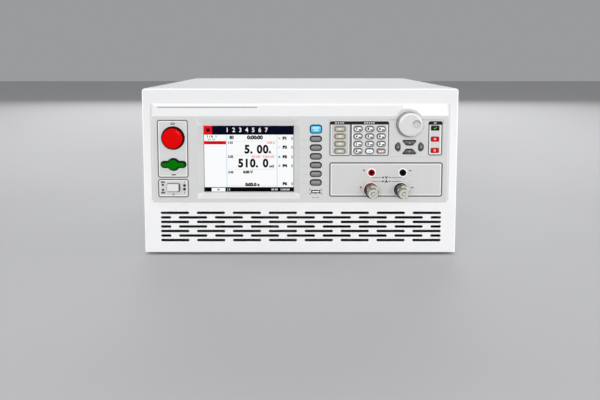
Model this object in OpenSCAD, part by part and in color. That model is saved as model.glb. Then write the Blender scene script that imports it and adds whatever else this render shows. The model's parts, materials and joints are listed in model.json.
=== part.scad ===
// Bench ground resistance tester in a full-width sheet-metal case.
// Millimetres. X to the right, Z up, the front faces -Y, the feet stand on Z = 0.
// "p" is how far a point stands in front of the front plate (negative is inside the case).

/* [Case] */
// Width of the case over its sides
case_w = 430; // [426:1:440]
// Height of the case without its feet
case_h = 227.8; // [224:0.1:240]
// Depth of the case from the front plate to the rear edge of the cover
case_d = 400; // [380:5:480]
// Sheet metal thickness of cover, tray and rear panel
sheet = 1.5; // [1.2:0.1:2]
// Outer radius of the two upper corners
corner_r = 5; // [3:0.5:7]
// Height of the rubber feet
foot_h = 3.2; // [2:0.1:12]

/* [Front plate] */
// Thickness of the front plate
plate_t = 3; // [2.5:0.1:4]
// Radius of the front plate's front edges
plate_edge = 1.6; // [0.5:0.1:2]
// Rows of vent slots
vent_rows = 7; // [5:1:7]
// Height of one vent slot
vent_h = 3.5; // [2.4:0.1:3.6]
// Length of one vent slot
vent_l = 39; // [34:0.5:42]
// Distance between the slots of one row
vent_pitch = 49.7; // [48:0.1:50]
// Distance between rows
vent_row_pitch = 6.42; // [5.5:0.02:6.5]
// Height of the top row above the bottom of the case
vent_top = 55.9; // [50:0.1:58]

/* [Bezel] */
// How far the bezel's face stands in front of the plate, film included
bezel_p = 12; // [11.5:0.1:13]
// Wall thickness of the bezel moulding
bezel_t = 3; // [2.6:0.1:3.2]
// Thickness of the printed film
film_t = 0.4; // [0.3:0.05:0.5]

/* [Keys] */
// How far a key stands out of the film
key_out = 2; // [1.6:0.1:2.5]
// Gap between a key and its hole
key_gap = 0.35; // [0.3:0.05:0.5]
// How far the stop button stands out of the film
stop_out = 4.6; // [3.5:0.1:7]
// How far the start button stands out of the film
start_out = 3.4; // [3:0.1:5]
// How far the power button stands out of the film
power_out = 4.2; // [4:0.1:6]

/* [Knob and terminals] */
// Radius of the jog knob
knob_r = 16.3; // [15:0.1:17.2]
// Height of the jog knob's front face over the plate
knob_p = 25; // [23:0.5:30]
// Radius of the current posts' threaded studs
stud_r = 2.5; // [2:0.05:2.5]
// How far the studs reach in front of the plate
stud_p = 39; // [39:0.5:44]
// Radius of the sense jacks' contact bore
jack_bore_r = 2; // [1.9:0.05:2.1]

/* [Hidden] */
$fn = 64;

front_reach = stud_p;
rear_reach = 1.5;
yf = -(case_d + rear_reach - front_reach) / 2; // front face of the front plate
z0 = foot_h;                                   // bottom of the case
z1 = foot_h + case_h;                          // top of the case
hw = case_w / 2;
face = bezel_p - film_t;                       // moulded face of the bezel
face_back = face - bezel_t;
key_top = bezel_p + key_out;

// bezel outline and the line where its sloped top strip starts
bz_x = 199.5;
bz_z0 = 76.3;
bz_z1 = 194.9;
bz_z2 = 210.4;

// the vent pattern's middle
vent_x = 1;

// display: visible screen, and its recess in the face (x0, x1, z0, z1)
scr = [-131.2, -8.4, 89.0, 181.2];
rec = [-138.7, -0.8, 82.3, 190.4];
scr_p = 4;

// key positions: x, z, width, height, corner radius
soft_x = 21.15;
soft_z = [163.7, 151.8, 139.9, 128.0, 116.1, 104.2];
row_z = [177.1, 167.1, 156.9, 147.1];
num_x = [77.8, 93.4, 108.9];
func_x = 53.5;
blue_k = [soft_x, 176.9, 14.7, 10.5, 3.0];
function soft_k(i) = [soft_x, soft_z[i], 14.7, 7.3, 3.4];
function func_k(i) = [func_x, row_z[i], 13.6, 6.2, 2.2];
function num_k(c, r) = [num_x[c], row_z[r], 11.0, 6.9, 3.3];
enter_k = [num_x[2], row_z[3], 10.6, 5.6, 1.9];
// arrow keys: centre x, z and turn; the outline is a trapezoid or a lens
up_k = [147, 158.4];
down_k = [147, 146.5];
left_k = [131.4, 152.7];
right_k = [162.6, 152.7];

stop_c = [-171.0, 164.8];
stop_r = 14.25;
start_c = [-170.8, 128.9];
power_k = [-171.5, 97.3, 16.6, 10.8, 2.4];
knob_c = [146.3, 184.2];
boss_r = 20;
led_x = -156.6;
led_z = [100.1, 95.0];
lamp_x = 181.2;
lamp_z = [178.3, 163.4, 148.0];
usb_c = [soft_x, 91.7];
jack_x = [96.5, 138.7];
jack_z = 117.7;
post_x = [95.8, 136.3];
post_z = 94.2;

board_p = -6;   // front of the front board
board_t = 1.6;

// ---------- helpers ----------
function arc(cx, cy, r, a0, a1, n) =
    [for (i = [0:n]) let (a = a0 + (a1 - a0) * i / n) [cx + r * cos(a), cy + r * sin(a)]];
function rr(w, h, r, n = 6) = let (q = min(r, min(w, h) / 2 - 0.02)) concat(
    arc(w / 2 - q, h / 2 - q, q, 0, 90, n),
    arc(-w / 2 + q, h / 2 - q, q, 90, 180, n),
    arc(-w / 2 + q, -h / 2 + q, q, 180, 270, n),
    arc(w / 2 - q, -h / 2 + q, q, 270, 360, n));

// a flat outline in X and Z, from p0 to p1 in front of the plate
module slab(p0, p1) {
    translate([0, yf - p0, 0]) rotate([90, 0, 0]) linear_extrude(height = p1 - p0) children();
}
// a round bar along the front direction
module bar(c, r, p0, p1) {
    translate([c[0], yf - p0, c[1]]) rotate([90, 0, 0]) cylinder(r = r, h = p1 - p0);
}
// a box given by its x, p and z limits
module pbox(x0, x1, p0, p1, za, zb) {
    translate([x0, yf - p1, za]) cube([x1 - x0, p1 - p0, zb - za]);
}
// a box given by its x limits, its distances behind the plate and its z limits
module dbox(x0, x1, d0, d1, za, zb) {
    translate([x0, yf + d0, za]) cube([x1 - x0, d1 - d0, zb - za]);
}
module rrect_at(k, g = 0) {
    translate([k[0], k[1]]) polygon(rr(k[2] + 2 * g, k[3] + 2 * g, k[4] + g));
}
// an arrow key's outline: a half lens, wide side up, grown by g
module arrow_2d(w, h, g = 0) {
    a = w / 2 + g; b = h / 2 + g;
    polygon(concat(
        arc(a - 2.2, b - 2.2, 2.2, 8, 90, 5),
        arc(-a + 2.2, b - 2.2, 2.2, 90, 172, 5),
        arc(-a * 0.52 + 1.6, -b + 2.0, 2.0, 215, 270, 4),
        arc(a * 0.52 - 1.6, -b + 2.0, 2.0, 270, 325, 4)));
}
module lens_2d(w, h, g = 0) {
    a = w / 2 + g; b = h / 2 + g;
    polygon(concat(
        arc(a - 1.5, b * 0.45, 1.5, 0, 50, 4),
        arc(0.6, b - 1.6, 1.6, 50, 130, 4),
        arc(-a + 1.7, b * 0.33, 1.7, 130, 180, 4),
        arc(-a + 1.7, -b * 0.33, 1.7, 180, 230, 4),
        arc(0.6, -b + 1.6, 1.6, 230, 310, 4),
        arc(a - 1.5, -b * 0.45, 1.5, 310, 360, 4)));
}
// the start button's outline: a disc with two wings and blended necks, grown by g
module lobed_2d(g = 0) {
    r = 7.25 + g; h = 3.4 + g; l = 16 + g; f = 3 - g;
    fx = sqrt((r + f) * (r + f) - (h + f) * (h + f));
    ca = atan2(h + f, fx);
    q = h - 0.02;
    right = concat(
        arc(l - q, 0, q, -90, 90, 12),
        arc(fx, h + f, f, 270, 180 + ca, 5),
        arc(0, 0, r, ca, 180 - ca, 24));
    polygon(concat(
        right,
        arc(-fx, h + f, f, -ca, -90, 5),
        arc(-l + q, 0, q, 90, 270, 12),
        arc(-fx, -h - f, f, 90, ca, 5),
        arc(0, 0, r, 180 + ca, 360 - ca, 24),
        arc(fx, -h - f, f, 180 - ca, 90, 5)));
}
module lobed_at(g = 0) { translate(start_c) lobed_2d(g); }

// every hole through the bezel's face; the same outlines cut the film
module face_holes_2d(g = 0) {
    for (i = [0:5]) rrect_at(soft_k(i), key_gap + g);
    rrect_at(blue_k, key_gap + g);
    for (i = [0:3]) rrect_at(func_k(i), key_gap + g);
    for (r = [0:3]) for (c = [0:2]) if (!(r == 3 && c == 2)) rrect_at(num_k(c, r), key_gap + g);
    rrect_at(enter_k, key_gap + g);
    translate(up_k) arrow_2d(17.8, 6.6, key_gap + g);
    translate(down_k) mirror([0, 1]) arrow_2d(17.8, 6.6, key_gap + g);
    translate(left_k) lens_2d(6.4, 11.5, key_gap + g);
    translate(right_k) mirror([1, 0]) lens_2d(6.4, 11.5, key_gap + g);
    translate(stop_c) circle(r = stop_r + 1.05 + g);
    lobed_at(0.95 + g);
    rrect_at(power_k, key_gap + g);
    for (z = led_z) translate([led_x, z]) circle(r = 1.9 + g, $fn = 32);
    for (z = lamp_z) rrect_at([lamp_x, z, 10.7, 6.2, 1.1], g);
    rrect_at([usb_c[0], usb_c[1], 13.6, 6.2, 0.6], g);
    for (x = jack_x) translate([x, jack_z]) circle(r = 3.7 + g, $fn = 48);
    for (x = post_x) translate([x, post_z]) circle(r = 6.2 + g, $fn = 48);
    translate(knob_c) circle(r = 5.4 + g, $fn = 48);
}

// ---------- case ----------
// bent U cover: two sides and the top, with a return flange at the rear
module top_cover() {
    color([0.91, 0.92, 0.93]) difference() {
        union() {
            difference() {
                slab(-case_d, -plate_t) polygon(concat(
                    [[hw, z0]], arc(hw - corner_r, z1 - corner_r, corner_r, 0, 90, 10),
                    arc(-hw + corner_r, z1 - corner_r, corner_r, 90, 180, 10), [[-hw, z0]]));
                slab(-case_d - 1, -plate_t + 1) polygon(concat(
                    [[hw - sheet, z0 - 1]],
                    arc(hw - corner_r, z1 - corner_r, corner_r - sheet, 0, 90, 10),
                    arc(-hw + corner_r, z1 - corner_r, corner_r - sheet, 90, 180, 10),
                    [[-hw + sheet, z0 - 1]]));
            }
            dbox(-190, 190, case_d - 4.6, case_d - 3.1, z1 - 18, z1 - sheet + 0.2);
        }
        for (x = [-1, 1]) for (d = [40, 200, 360])
            translate([x * hw - 5, yf + d, z0 + 11]) rotate([0, 90, 0]) cylinder(r = 2.15, h = 10, $fn = 32);
        for (x = [-150, 0, 150]) translate([x, yf + case_d + 5, z1 - 10])
            rotate([90, 0, 0]) cylinder(r = 2.0, h = 12, $fn = 32);
    }
}

// base tray: floor, side flanges, front and rear upstands and the uprights behind the plate
module chassis_tray() {
    iw = hw - sheet - 0.2;
    color([0.72, 0.73, 0.74]) difference() {
        union() {
            dbox(-iw, iw, plate_t, case_d - 3, z0, z0 + sheet);
            for (s = [0, 1]) mirror([s, 0, 0]) {
                dbox(iw - sheet, iw, plate_t, case_d - 3, z0, z0 + 22);
                dbox(iw - 9, iw, plate_t, plate_t + sheet, z0, z1 - 16);
                dbox(iw - 12, iw, case_d - 4.6, case_d - 3.1, z0, z1 - 22);
            }
            dbox(-iw, iw, plate_t, plate_t + sheet, z0, z0 + 12);
            dbox(-iw, iw, case_d - 4.6, case_d - 3.1, z0, z0 + 18);
        }
        for (x = [-1, 1]) for (d = [40, 200, 360])
            translate([x * hw - 5, yf + d, z0 + 11]) rotate([0, 90, 0]) cylinder(r = 2.0, h = 10, $fn = 32);
        for (x = [-200, -60, 60, 200]) translate([x, yf + case_d + 5, z0 + 9])
            rotate([90, 0, 0]) cylinder(r = 2.0, h = 12, $fn = 32);
    }
}

// one vent row: long slots, with half-length slots at the ends of every second row
module vent_row(i) {
    z = z0 + vent_top - i * vent_row_pitch;
    full = i % 2 == 0;
    n = full ? 8 : 7;
    for (k = [0:n - 1]) translate([vent_x + (k - (n - 1) / 2) * vent_pitch, z])
        polygon(rr(vent_l, vent_h, vent_h / 2, 8));
    if (!full) for (s = [-1, 1]) translate([vent_x + s * (3.5 * vent_pitch + vent_l / 2 - 7.1), z])
        polygon(rr(14.2, vent_h, vent_h / 2, 8));
}

module front_plate() {
    e = plate_edge;
    color([0.94, 0.94, 0.94]) difference() {
        intersection() {
            slab(-plate_t, 0.01) polygon(concat(
                [[hw, z0]], arc(hw - corner_r, z1 - corner_r, corner_r, 0, 90, 10),
                arc(-hw + corner_r, z1 - corner_r, corner_r, 90, 180, 10), [[-hw, z0]]));
            // rounds the upright edges
            translate([0, 0, z0 - 1]) linear_extrude(height = case_h + 2) polygon(concat(
                [[-hw, yf + plate_t]], arc(-hw + e, yf + e, e, 180, 270, 6),
                arc(hw - e, yf + e, e, 270, 360, 6), [[hw, yf + plate_t]]));
            // rounds the top and bottom edges
            translate([-hw - 1, 0, 0]) rotate([90, 0, 90]) linear_extrude(height = case_w + 2) polygon(concat(
                [[yf + plate_t, z1]], arc(yf + e, z1 - e, e, 90, 180, 6),
                arc(yf + 0.8, z0 + 0.8, 0.8, 180, 270, 4), [[yf + plate_t, z0]]));
        }
        slab(-plate_t - 1, 1) for (i = [0:vent_rows - 1]) vent_row(i);
        pbox(-193, 193, -plate_t - 1, 1, 80.5, 192.5);
    }
}

// ---------- bezel ----------
module bezel_shell() {
    // outer form: face, sloped strip and rounded front edges
    intersection() {
        translate([-bz_x, 0, 0]) rotate([90, 0, 90]) linear_extrude(height = 2 * bz_x) polygon(concat(
            [[yf, bz_z2], [yf - face, bz_z1]],
            arc(yf - face + 1.2, bz_z0 + 1.2, 1.2, 180, 270, 5), [[yf, bz_z0]]));
        translate([0, 0, bz_z0 - 1]) linear_extrude(height = bz_z2 - bz_z0 + 2) polygon(concat(
            [[-bz_x, yf + 1]], arc(-bz_x + 1.2, yf - face + 1.2, 1.2, 180, 270, 5),
            arc(bz_x - 1.2, yf - face + 1.2, 1.2, 270, 360, 5), [[bz_x, yf + 1]]));
    }
    bar(knob_c, boss_r, 0, face);
}
// four-sided funnel between the face and the screen, from p a to p b, walls w outside the clear opening
module funnel(w, a, b) {
    t = (b - scr_p) / (face - scr_p);
    intersection() {
        translate([0, 0, rec[2] - 12]) linear_extrude(height = rec[3] - rec[2] + 24) polygon([
            [scr[0] - w, yf - a], [scr[0] - w, yf - scr_p],
            [scr[0] - w + (rec[0] - scr[0]) * t, yf - b],
            [scr[1] + w + (rec[1] - scr[1]) * t, yf - b],
            [scr[1] + w, yf - scr_p], [scr[1] + w, yf - a]]);
        translate([rec[0] - 12, 0, 0]) rotate([90, 0, 90]) linear_extrude(height = rec[1] - rec[0] + 24) polygon([
            [yf - a, scr[2] - w], [yf - scr_p, scr[2] - w],
            [yf - b, scr[2] - w + (rec[2] - scr[2]) * t],
            [yf - b, scr[3] + w + (rec[3] - scr[3]) * t],
            [yf - scr_p, scr[3] + w], [yf - a, scr[3] + w]]);
    }
}
module front_bezel() {
    w = 2.6;
    color([0.93, 0.93, 0.92]) difference() {
        union() {
            difference() {
                bezel_shell();
                // hollow behind the face
                translate([-bz_x + w, 0, 0]) rotate([90, 0, 90]) linear_extrude(height = 2 * (bz_x - w)) polygon([
                    [yf + 1, bz_z0 + w], [yf + 1, bz_z2 - 4.9], [yf - face_back, bz_z1 - 0.33],
                    [yf - face_back, bz_z0 + w]]);
                bar(knob_c, boss_r - w, -1, face_back);
            }
            funnel(2.4, scr_p, face);
            // clips that hold the moulding in the plate's window
            for (x = [-150, -70, 70, 150]) {
                pbox(x - 6, x + 6, -plate_t - 0.3, face_back + 0.5, 190.4, 192.3);
                pbox(x - 6, x + 6, -plate_t - 2.2, -plate_t - 0.3, 190.4, 193.6);
                pbox(x - 6, x + 6, -plate_t - 0.3, face_back + 0.5, 80.7, 82.6);
                pbox(x - 6, x + 6, -plate_t - 2.2, -plate_t - 0.3, 79.4, 82.6);
            }
        }
        funnel(0, scr_p - 1, face + 1);
        slab(face_back - 1, face + 1) face_holes_2d(0);
    }
}

// printed film on the bezel's face, with a lobe over the knob's boss
module front_overlay() {
    color([0.83, 0.83, 0.82]) difference() {
        slab(face, bezel_p) union() {
            polygon([[-bz_x + 0.8, bz_z0 + 0.8], [bz_x - 0.8, bz_z0 + 0.8],
                [bz_x - 0.8, bz_z1 - 0.6], [-bz_x + 0.8, bz_z1 - 0.6]]);
            translate(knob_c) circle(r = boss_r - 0.3);
        }
        slab(face - 1, bezel_p + 1) union() {
            face_holes_2d(0.05);
            polygon([[rec[0] - 0.4, rec[2] - 0.4], [rec[1] + 0.4, rec[2] - 0.4],
                [rec[1] + 0.4, rec[3] + 0.4], [rec[0] - 0.4, rec[3] + 0.4]]);
        }
    }
}

// ---------- behind the face ----------
// display: metal frame with the glass set back a little behind the funnel
module lcd_module() {
    color([0.12, 0.12, 0.14]) difference() {
        pbox(-137, -2.6, board_p + 1.6, scr_p - 0.15, 85, 186.5);
        pbox(scr[0] + 0.2, scr[1] - 0.2, scr_p - 0.6, scr_p + 1, scr[2] + 0.2, scr[3] - 0.2);
    }
}
module tact(c, top) {
    pbox(c[0] - 3, c[0] + 3, board_p - 0.1, board_p + 2.6, c[1] - 3, c[1] + 3);
    bar(c, 1.7, board_p + 2.5, top);
}
// control board with the switches under the keys, the encoder and the button switches
module front_board() {
    sw = -2.1;
    color([0.12, 0.36, 0.2]) difference() {
        union() {
            pbox(-198, 198, board_p - board_t, board_p, 79, 196.5);
            for (x = [-195.6, 195.6]) for (z = [84, 138, 191])
                pbox(x - 2, x + 2, board_p - 0.1, -plate_t, z - 4, z + 4);
            for (x = [-130, -10]) for (z = [90, 181]) bar([x, z], 3, board_p - 0.1, board_p + 1.6);
            for (i = [0:5]) tact([soft_x, soft_z[i]], sw);
            tact([blue_k[0], blue_k[1]], sw);
            for (r = [0:3]) { tact([func_x, row_z[r]], sw); for (c = [0:2]) tact([num_x[c], row_z[r]], sw); }
            for (k = [up_k, down_k, left_k, right_k]) tact(k, sw);
            pbox(stop_c[0] - 7, stop_c[0] + 7, board_p - 0.1, board_p + 1.6, stop_c[1] - 7, stop_c[1] + 7);
            pbox(start_c[0] - 7, start_c[0] + 7, board_p - 0.1, board_p + 1.6, start_c[1] - 6, start_c[1] + 6);
            pbox(power_k[0] - 7, power_k[0] + 7, -24, board_p + 0.6, power_k[1] - 6, power_k[1] + 6);
            // encoder: body and threaded bushing
            pbox(knob_c[0] - 6.5, knob_c[0] + 6.5, board_p - 0.1, 1, knob_c[1] - 6, knob_c[1] + 5);
            bar(knob_c, 4.6, 0, 8);
        }
        // clearance for the encoder shaft, the jacks and the post studs
        bar(knob_c, 3.05, board_p + 1, 9);
        for (x = jack_x) bar([x, jack_z], 5.2, board_p - 3, board_p + 1);
        for (x = post_x) bar([x, post_z], 7.4, board_p - 3, board_p + 1);
        pbox(usb_c[0] - 7, usb_c[0] + 7, board_p - 3, board_p + 1, usb_c[1] - 4, usb_c[1] + 4);
    }
}
// three window lamps and two round ones, on their light pipes
module indicator_leds() {
    color([0.75, 0.08, 0.08]) for (z = [lamp_z[1], lamp_z[2]])
        slab(board_p + 0.2, bezel_p + 0.25) rrect_at([lamp_x, z, 10.4, 5.9, 1.0]);
    color([0.1, 0.25, 0.1]) slab(board_p + 0.2, bezel_p + 0.25) rrect_at([lamp_x, lamp_z[0], 10.4, 5.9, 1.0]);
    color([0.45, 0.05, 0.1]) for (z = led_z) {
        bar([led_x, z], 1.75, board_p + 0.2, bezel_p + 0.2);
        translate([led_x, yf - bezel_p - 0.2, z]) rotate([90, 0, 0])
            rotate_extrude($fn = 32) polygon([[0, -0.05], [1.75, -0.05], [1.5, 0.45], [0.9, 0.8], [0, 0.95]]);
    }
}
// USB socket: flared metal shell with its contact tongue
module usb_port() {
    color([0.72, 0.73, 0.75]) difference() {
        union() {
            slab(-12, bezel_p + 0.2) translate(usb_c) polygon(rr(13.3, 5.9, 0.5, 3));
            slab(bezel_p + 0.05, bezel_p + 0.6) translate(usb_c) polygon(rr(14.3, 6.9, 0.6, 3));
        }
        slab(-11, bezel_p + 2) translate(usb_c) polygon(rr(12.5, 5.1, 0.3, 3));
    }
    color([0.92, 0.92, 0.9]) pbox(usb_c[0] - 5.6, usb_c[0] + 5.6, -11.1, bezel_p - 1, usb_c[1] + 0.1, usb_c[1] + 1.9);
}

// ---------- buttons ----------
// black collars that guide the stop and start buttons
module button_collars() {
    color([0.06, 0.06, 0.06]) {
        difference() {
            union() {
                bar(stop_c, stop_r + 0.95, 2, bezel_p + 0.5);
                bar(stop_c, stop_r + 1.45, bezel_p + 0.02, bezel_p + 1);
            }
            bar(stop_c, stop_r + 0.3, 1, bezel_p + 3);
        }
        difference() {
            union() {
                slab(2, bezel_p + 0.5) lobed_at(0.85);
                slab(bezel_p + 0.02, bezel_p + 1) lobed_at(1.25);
            }
            slab(1, bezel_p + 3) lobed_at(0.3);
        }
    }
}
module stop_button() {
    color([0.87, 0.02, 0.02]) translate([stop_c[0], yf, stop_c[1]]) rotate([90, 0, 0])
        rotate_extrude($fn = 96) polygon(concat(
            [[0, -0.6], [4, -0.6], [4, 0.3], [stop_r + 0.75, 0.3], [stop_r + 0.75, 1.7], [stop_r, 1.7]],
            [[stop_r, bezel_p + stop_out - 2.0]],
            arc(stop_r - 1.6, bezel_p + stop_out - 2.0, 1.6, 10, 80, 5),
            [[stop_r - 5, bezel_p + stop_out - 0.15], [0, bezel_p + stop_out]]));
}
module start_button() {
    color([0.01, 0.45, 0.07]) {
        slab(1.5, bezel_p + start_out) lobed_at(0);
        slab(0.3, 1.7) lobed_at(0.6);
        bar(start_c, 3.5, -0.6, 0.5);
    }
}
module power_button() {
    color([0.85, 0.85, 0.84]) {
        slab(3, bezel_p + power_out) rrect_at(power_k);
        pbox(power_k[0] - 10.2, power_k[0] + 10.2, 3, 4.5, power_k[1] - 5.6, power_k[1] + 5.6);
        pbox(power_k[0] - 2.5, power_k[0] + 2.5, -1.2, 3.2, power_k[1] - 2.5, power_k[1] + 2.5);
    }
}
// key cap with side ears that keep it behind the face, and a stem to its switch
module cap(k) {
    slab(7, key_top) rrect_at(k);
    pbox(k[0] - k[2] / 2 - 1.2, k[0] + k[2] / 2 + 1.2, 6.9, 8.2, k[1] - k[3] / 2 + 0.4, k[1] + k[3] / 2 - 0.4);
    bar(k, 2, -0.4, 7.5);
}
module arrow_cap(c, ex, ez) {
    slab(7, key_top) translate(c) children();
    pbox(c[0] - ex, c[0] + ex, 6.9, 8.2, c[1] - ez, c[1] + ez);
    bar(c, 2, -0.4, 7.5);
}
module soft_key(i) { color([0.45, 0.45, 0.45]) cap(soft_k(i)); }
module func_key(i) { color([0.70, 0.68, 0.60]) cap(func_k(i)); }
module num_key(c, r) { color([0.95, 0.95, 0.95]) cap(num_k(c, r)); }
module key_blue() { color([0.1, 0.65, 0.92]) cap(blue_k); }
module key_enter() { color([0.80, 0.72, 0.69]) cap(enter_k); }
module key_up() { color([0.33, 0.33, 0.33]) arrow_cap(up_k, 10.2, 1.8) arrow_2d(17.8, 6.6); }
module key_down() { color([0.33, 0.33, 0.33]) arrow_cap(down_k, 10.2, 1.8) mirror([0, 1]) arrow_2d(17.8, 6.6); }
module key_left() { color([0.33, 0.33, 0.33]) arrow_cap(left_k, 2.6, 7.0) lens_2d(6.4, 11.5); }
module key_right() { color([0.33, 0.33, 0.33]) arrow_cap(right_k, 2.6, 7.0) mirror([1, 0]) lens_2d(6.4, 11.5); }

// jog knob: hollow shell with a finger dimple, on its own shaft
module jog_knob() {
    b = bezel_p + 0.7; t = knob_p; r = knob_r;
    color([0.87, 0.87, 0.86]) difference() {
        translate([knob_c[0], yf, knob_c[1]]) rotate([90, 0, 0]) rotate_extrude($fn = 96) polygon(concat(
            [[0, board_p + 1.4], [3, board_p + 1.4], [3, b + 2], [5, b + 2], [5, t - 4], [r - 2.6, t - 4],
             [r - 2.6, b], [r - 0.4, b], [r, b + 0.4], [r, b + 2.2], [r - 0.25, b + 2.6]],
            arc(r - 0.9 - 1.8, t - 1.8, 1.8, 5, 85, 7), [[r - 3.4, t], [0, t + 0.02]]));
        translate([knob_c[0] + 7.6, yf - t - 4.9, knob_c[1] + 0.5]) sphere(r = 7.5, $fn = 64);
    }
}

// ---------- terminals ----------
// insulated 4 mm jack: flange, body and the round contact well
module jack(x) {
    difference() {
        union() {
            bar([x, jack_z], 4.5, bezel_p + 0.02, bezel_p + 1.4);
            bar([x, jack_z], 3.6, -9, bezel_p + 0.5);
        }
        bar([x, jack_z], jack_bore_r, -7, bezel_p + 3);
    }
}
module sense_jack_red() { color([0.72, 0.04, 0.05]) jack(jack_x[0]); }
module sense_jack_black() { color([0.05, 0.05, 0.05]) jack(jack_x[1]); }
// insulating base of a binding post, with its bush through the face
module post_base(x) {
    difference() {
        translate([x, yf, post_z]) rotate([90, 0, 0]) rotate_extrude() polygon([
            [stud_r + 0.15, -2], [6, -2], [6, bezel_p + 0.02], [9.5, bezel_p + 0.02], [9.5, bezel_p + 4.2],
            [8.7, bezel_p + 5], [stud_r + 0.15, bezel_p + 5]]);
    }
}
module post_base_red() { color([0.75, 0.03, 0.04]) post_base(post_x[0]); }
module post_base_black() { color([0.05, 0.05, 0.05]) post_base(post_x[1]); }
// threaded studs with the nuts that clamp them behind the face
module post_studs() {
    color([0.70, 0.70, 0.66]) for (x = post_x) {
        translate([x, yf, post_z]) rotate([90, 0, 0]) rotate_extrude() polygon([
            [0, -18], [stud_r, -18], [stud_r, stud_p - 0.5], [stud_r - 0.4, stud_p], [0, stud_p]]);
        translate([x, yf + 5.5, post_z]) rotate([90, 0, 0]) cylinder(r = 5.6, h = 3.4, $fn = 6);
    }
}
module post_washer(x) {
    p = bezel_p + 5;
    translate([x, yf, post_z]) rotate([90, 0, 0]) rotate_extrude() polygon([
        [stud_r + 0.08, p + 0.08], [7.6, p + 0.08], [7.6, p + 1.3], [stud_r + 0.08, p + 1.3]]);
}
module post_washer_red() { color([0.72, 0.72, 0.68]) post_washer(post_x[0]); }
module post_washer_black() { color([0.72, 0.72, 0.68]) post_washer(post_x[1]); }
// clamping nut with six grip flutes
module post_nut(x) {
    p = bezel_p + 6.4; t = stud_p - 1;
    difference() {
        translate([x, yf, post_z]) rotate([90, 0, 0]) rotate_extrude($fn = 72) polygon([
            [stud_r + 0.06, p], [8.2, p], [9.1, p + 0.9], [9.1, p + 8.2], [8.3, p + 9], [7.3, p + 9],
            [7.2, t - 1.3], [6.2, t], [2.95, t], [stud_r + 0.06, t - 0.4]]);
        for (a = [0:60:300]) translate([x + 9.0 * cos(a + 30), yf - p - 9.3, post_z + 9.0 * sin(a + 30)])
            rotate([90, 0, 0]) cylinder(r = 2.9, h = t - p, $fn = 40);
    }
}
module post_nut_red() { color([0.74, 0.75, 0.68]) post_nut(post_x[0]); }
module post_nut_black() { color([0.74, 0.75, 0.68]) post_nut(post_x[1]); }

// ---------- rear and inside ----------
fan_c = [125, 84];
fan_s = 92;
fan_d0 = case_d - 3 - 25.4;   // front face of the fan, behind the plate
inlet_c = [-165, 62];
// punched rear panel, set inside the cover
module rear_panel() {
    iw = hw - sheet - 0.2; top = z1 - sheet - 0.2;
    color([0.86, 0.87, 0.87]) difference() {
        slab(-case_d + sheet, -case_d + 3) polygon(concat(
            [[iw, z0 + 0.2]], arc(iw - 3.5, top - 3.5, 3.5, 0, 90, 6),
            arc(-iw + 3.5, top - 3.5, 3.5, 90, 180, 6), [[-iw, z0 + 0.2]]));
        slab(-case_d - 1, -case_d + 5) {
            translate(fan_c) difference() {
                for (r = [8.5, 16.5, 24.5, 32.5, 40.5]) difference() {
                    circle(r = r + 2.6);
                    circle(r = r - 2.6);
                }
                for (a = [45, 135]) rotate(a) square([100, 4.5], center = true);
            }
            for (sx = [-1, 1]) for (sz = [-1, 1])
                translate([fan_c[0] + sx * 41.25, fan_c[1] + sz * 41.25]) circle(r = 2.15, $fn = 24);
            translate(inlet_c) square([27.6, 20.6], center = true);
            for (s = [-1, 1]) translate([inlet_c[0] + s * 20, inlet_c[1]]) circle(r = 1.7, $fn = 24);
            for (x = [-200, -60, 60, 200]) translate([x, z0 + 9]) circle(r = 2.15, $fn = 24);
            for (x = [-150, 0, 150]) translate([x, z1 - 10]) circle(r = 2.15, $fn = 24);
            for (i = [0:7]) for (k = [0:2]) translate([-150 + k * 50, 118 + i * 9])
                polygon(rr(38, 4, 2, 6));
        }
    }
}
// square fan housing with its rear spider and bearing post
module fan_frame() {
    color([0.1, 0.1, 0.1]) translate([fan_c[0], yf + fan_d0, fan_c[1]]) rotate([-90, 0, 0]) {
        difference() {
            union() {
                difference() {
                    linear_extrude(height = 25.4) polygon(rr(fan_s, fan_s, 5));
                    translate([0, 0, -1]) cylinder(r = 44, h = 28, $fn = 96);
                }
                for (a = [0:90:270]) rotate(a + 20) translate([10, -2, 22]) cube([36, 4, 3.4]);
                translate([0, 0, 20.5]) cylinder(r = 17, h = 4.9);
                translate([0, 0, 7]) cylinder(r = 6, h = 15);
            }
            translate([0, 0, 6]) cylinder(r = 1.56, h = 16, $fn = 32);
            for (sx = [-1, 1]) for (sy = [-1, 1]) translate([sx * 41.25, sy * 41.25, -1])
                cylinder(r = 2.0, h = 28, $fn = 24);
        }
    }
}
// fan rotor: cup hub on its shaft, with seven pitched blades
module fan_rotor() {
    color([0.14, 0.14, 0.15]) translate([fan_c[0], yf + fan_d0, fan_c[1]]) rotate([-90, 0, 0]) {
        difference() {
            translate([0, 0, 1.5]) cylinder(r = 19, h = 18);
            translate([0, 0, 4]) cylinder(r = 16.5, h = 20);
        }
        translate([0, 0, 3]) cylinder(r = 1.5, h = 16, $fn = 32);
        intersection() {
            for (i = [0:6]) rotate(i * 360 / 7) translate([30, 0, 10.5]) rotate([38, 0, 0])
                cube([25, 22, 1.6], center = true);
            translate([0, 0, 1.5]) difference() {
                cylinder(r = 42.8, h = 18, $fn = 96);
                translate([0, 0, -1]) cylinder(r = 18.4, h = 21);
            }
        }
    }
}
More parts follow.
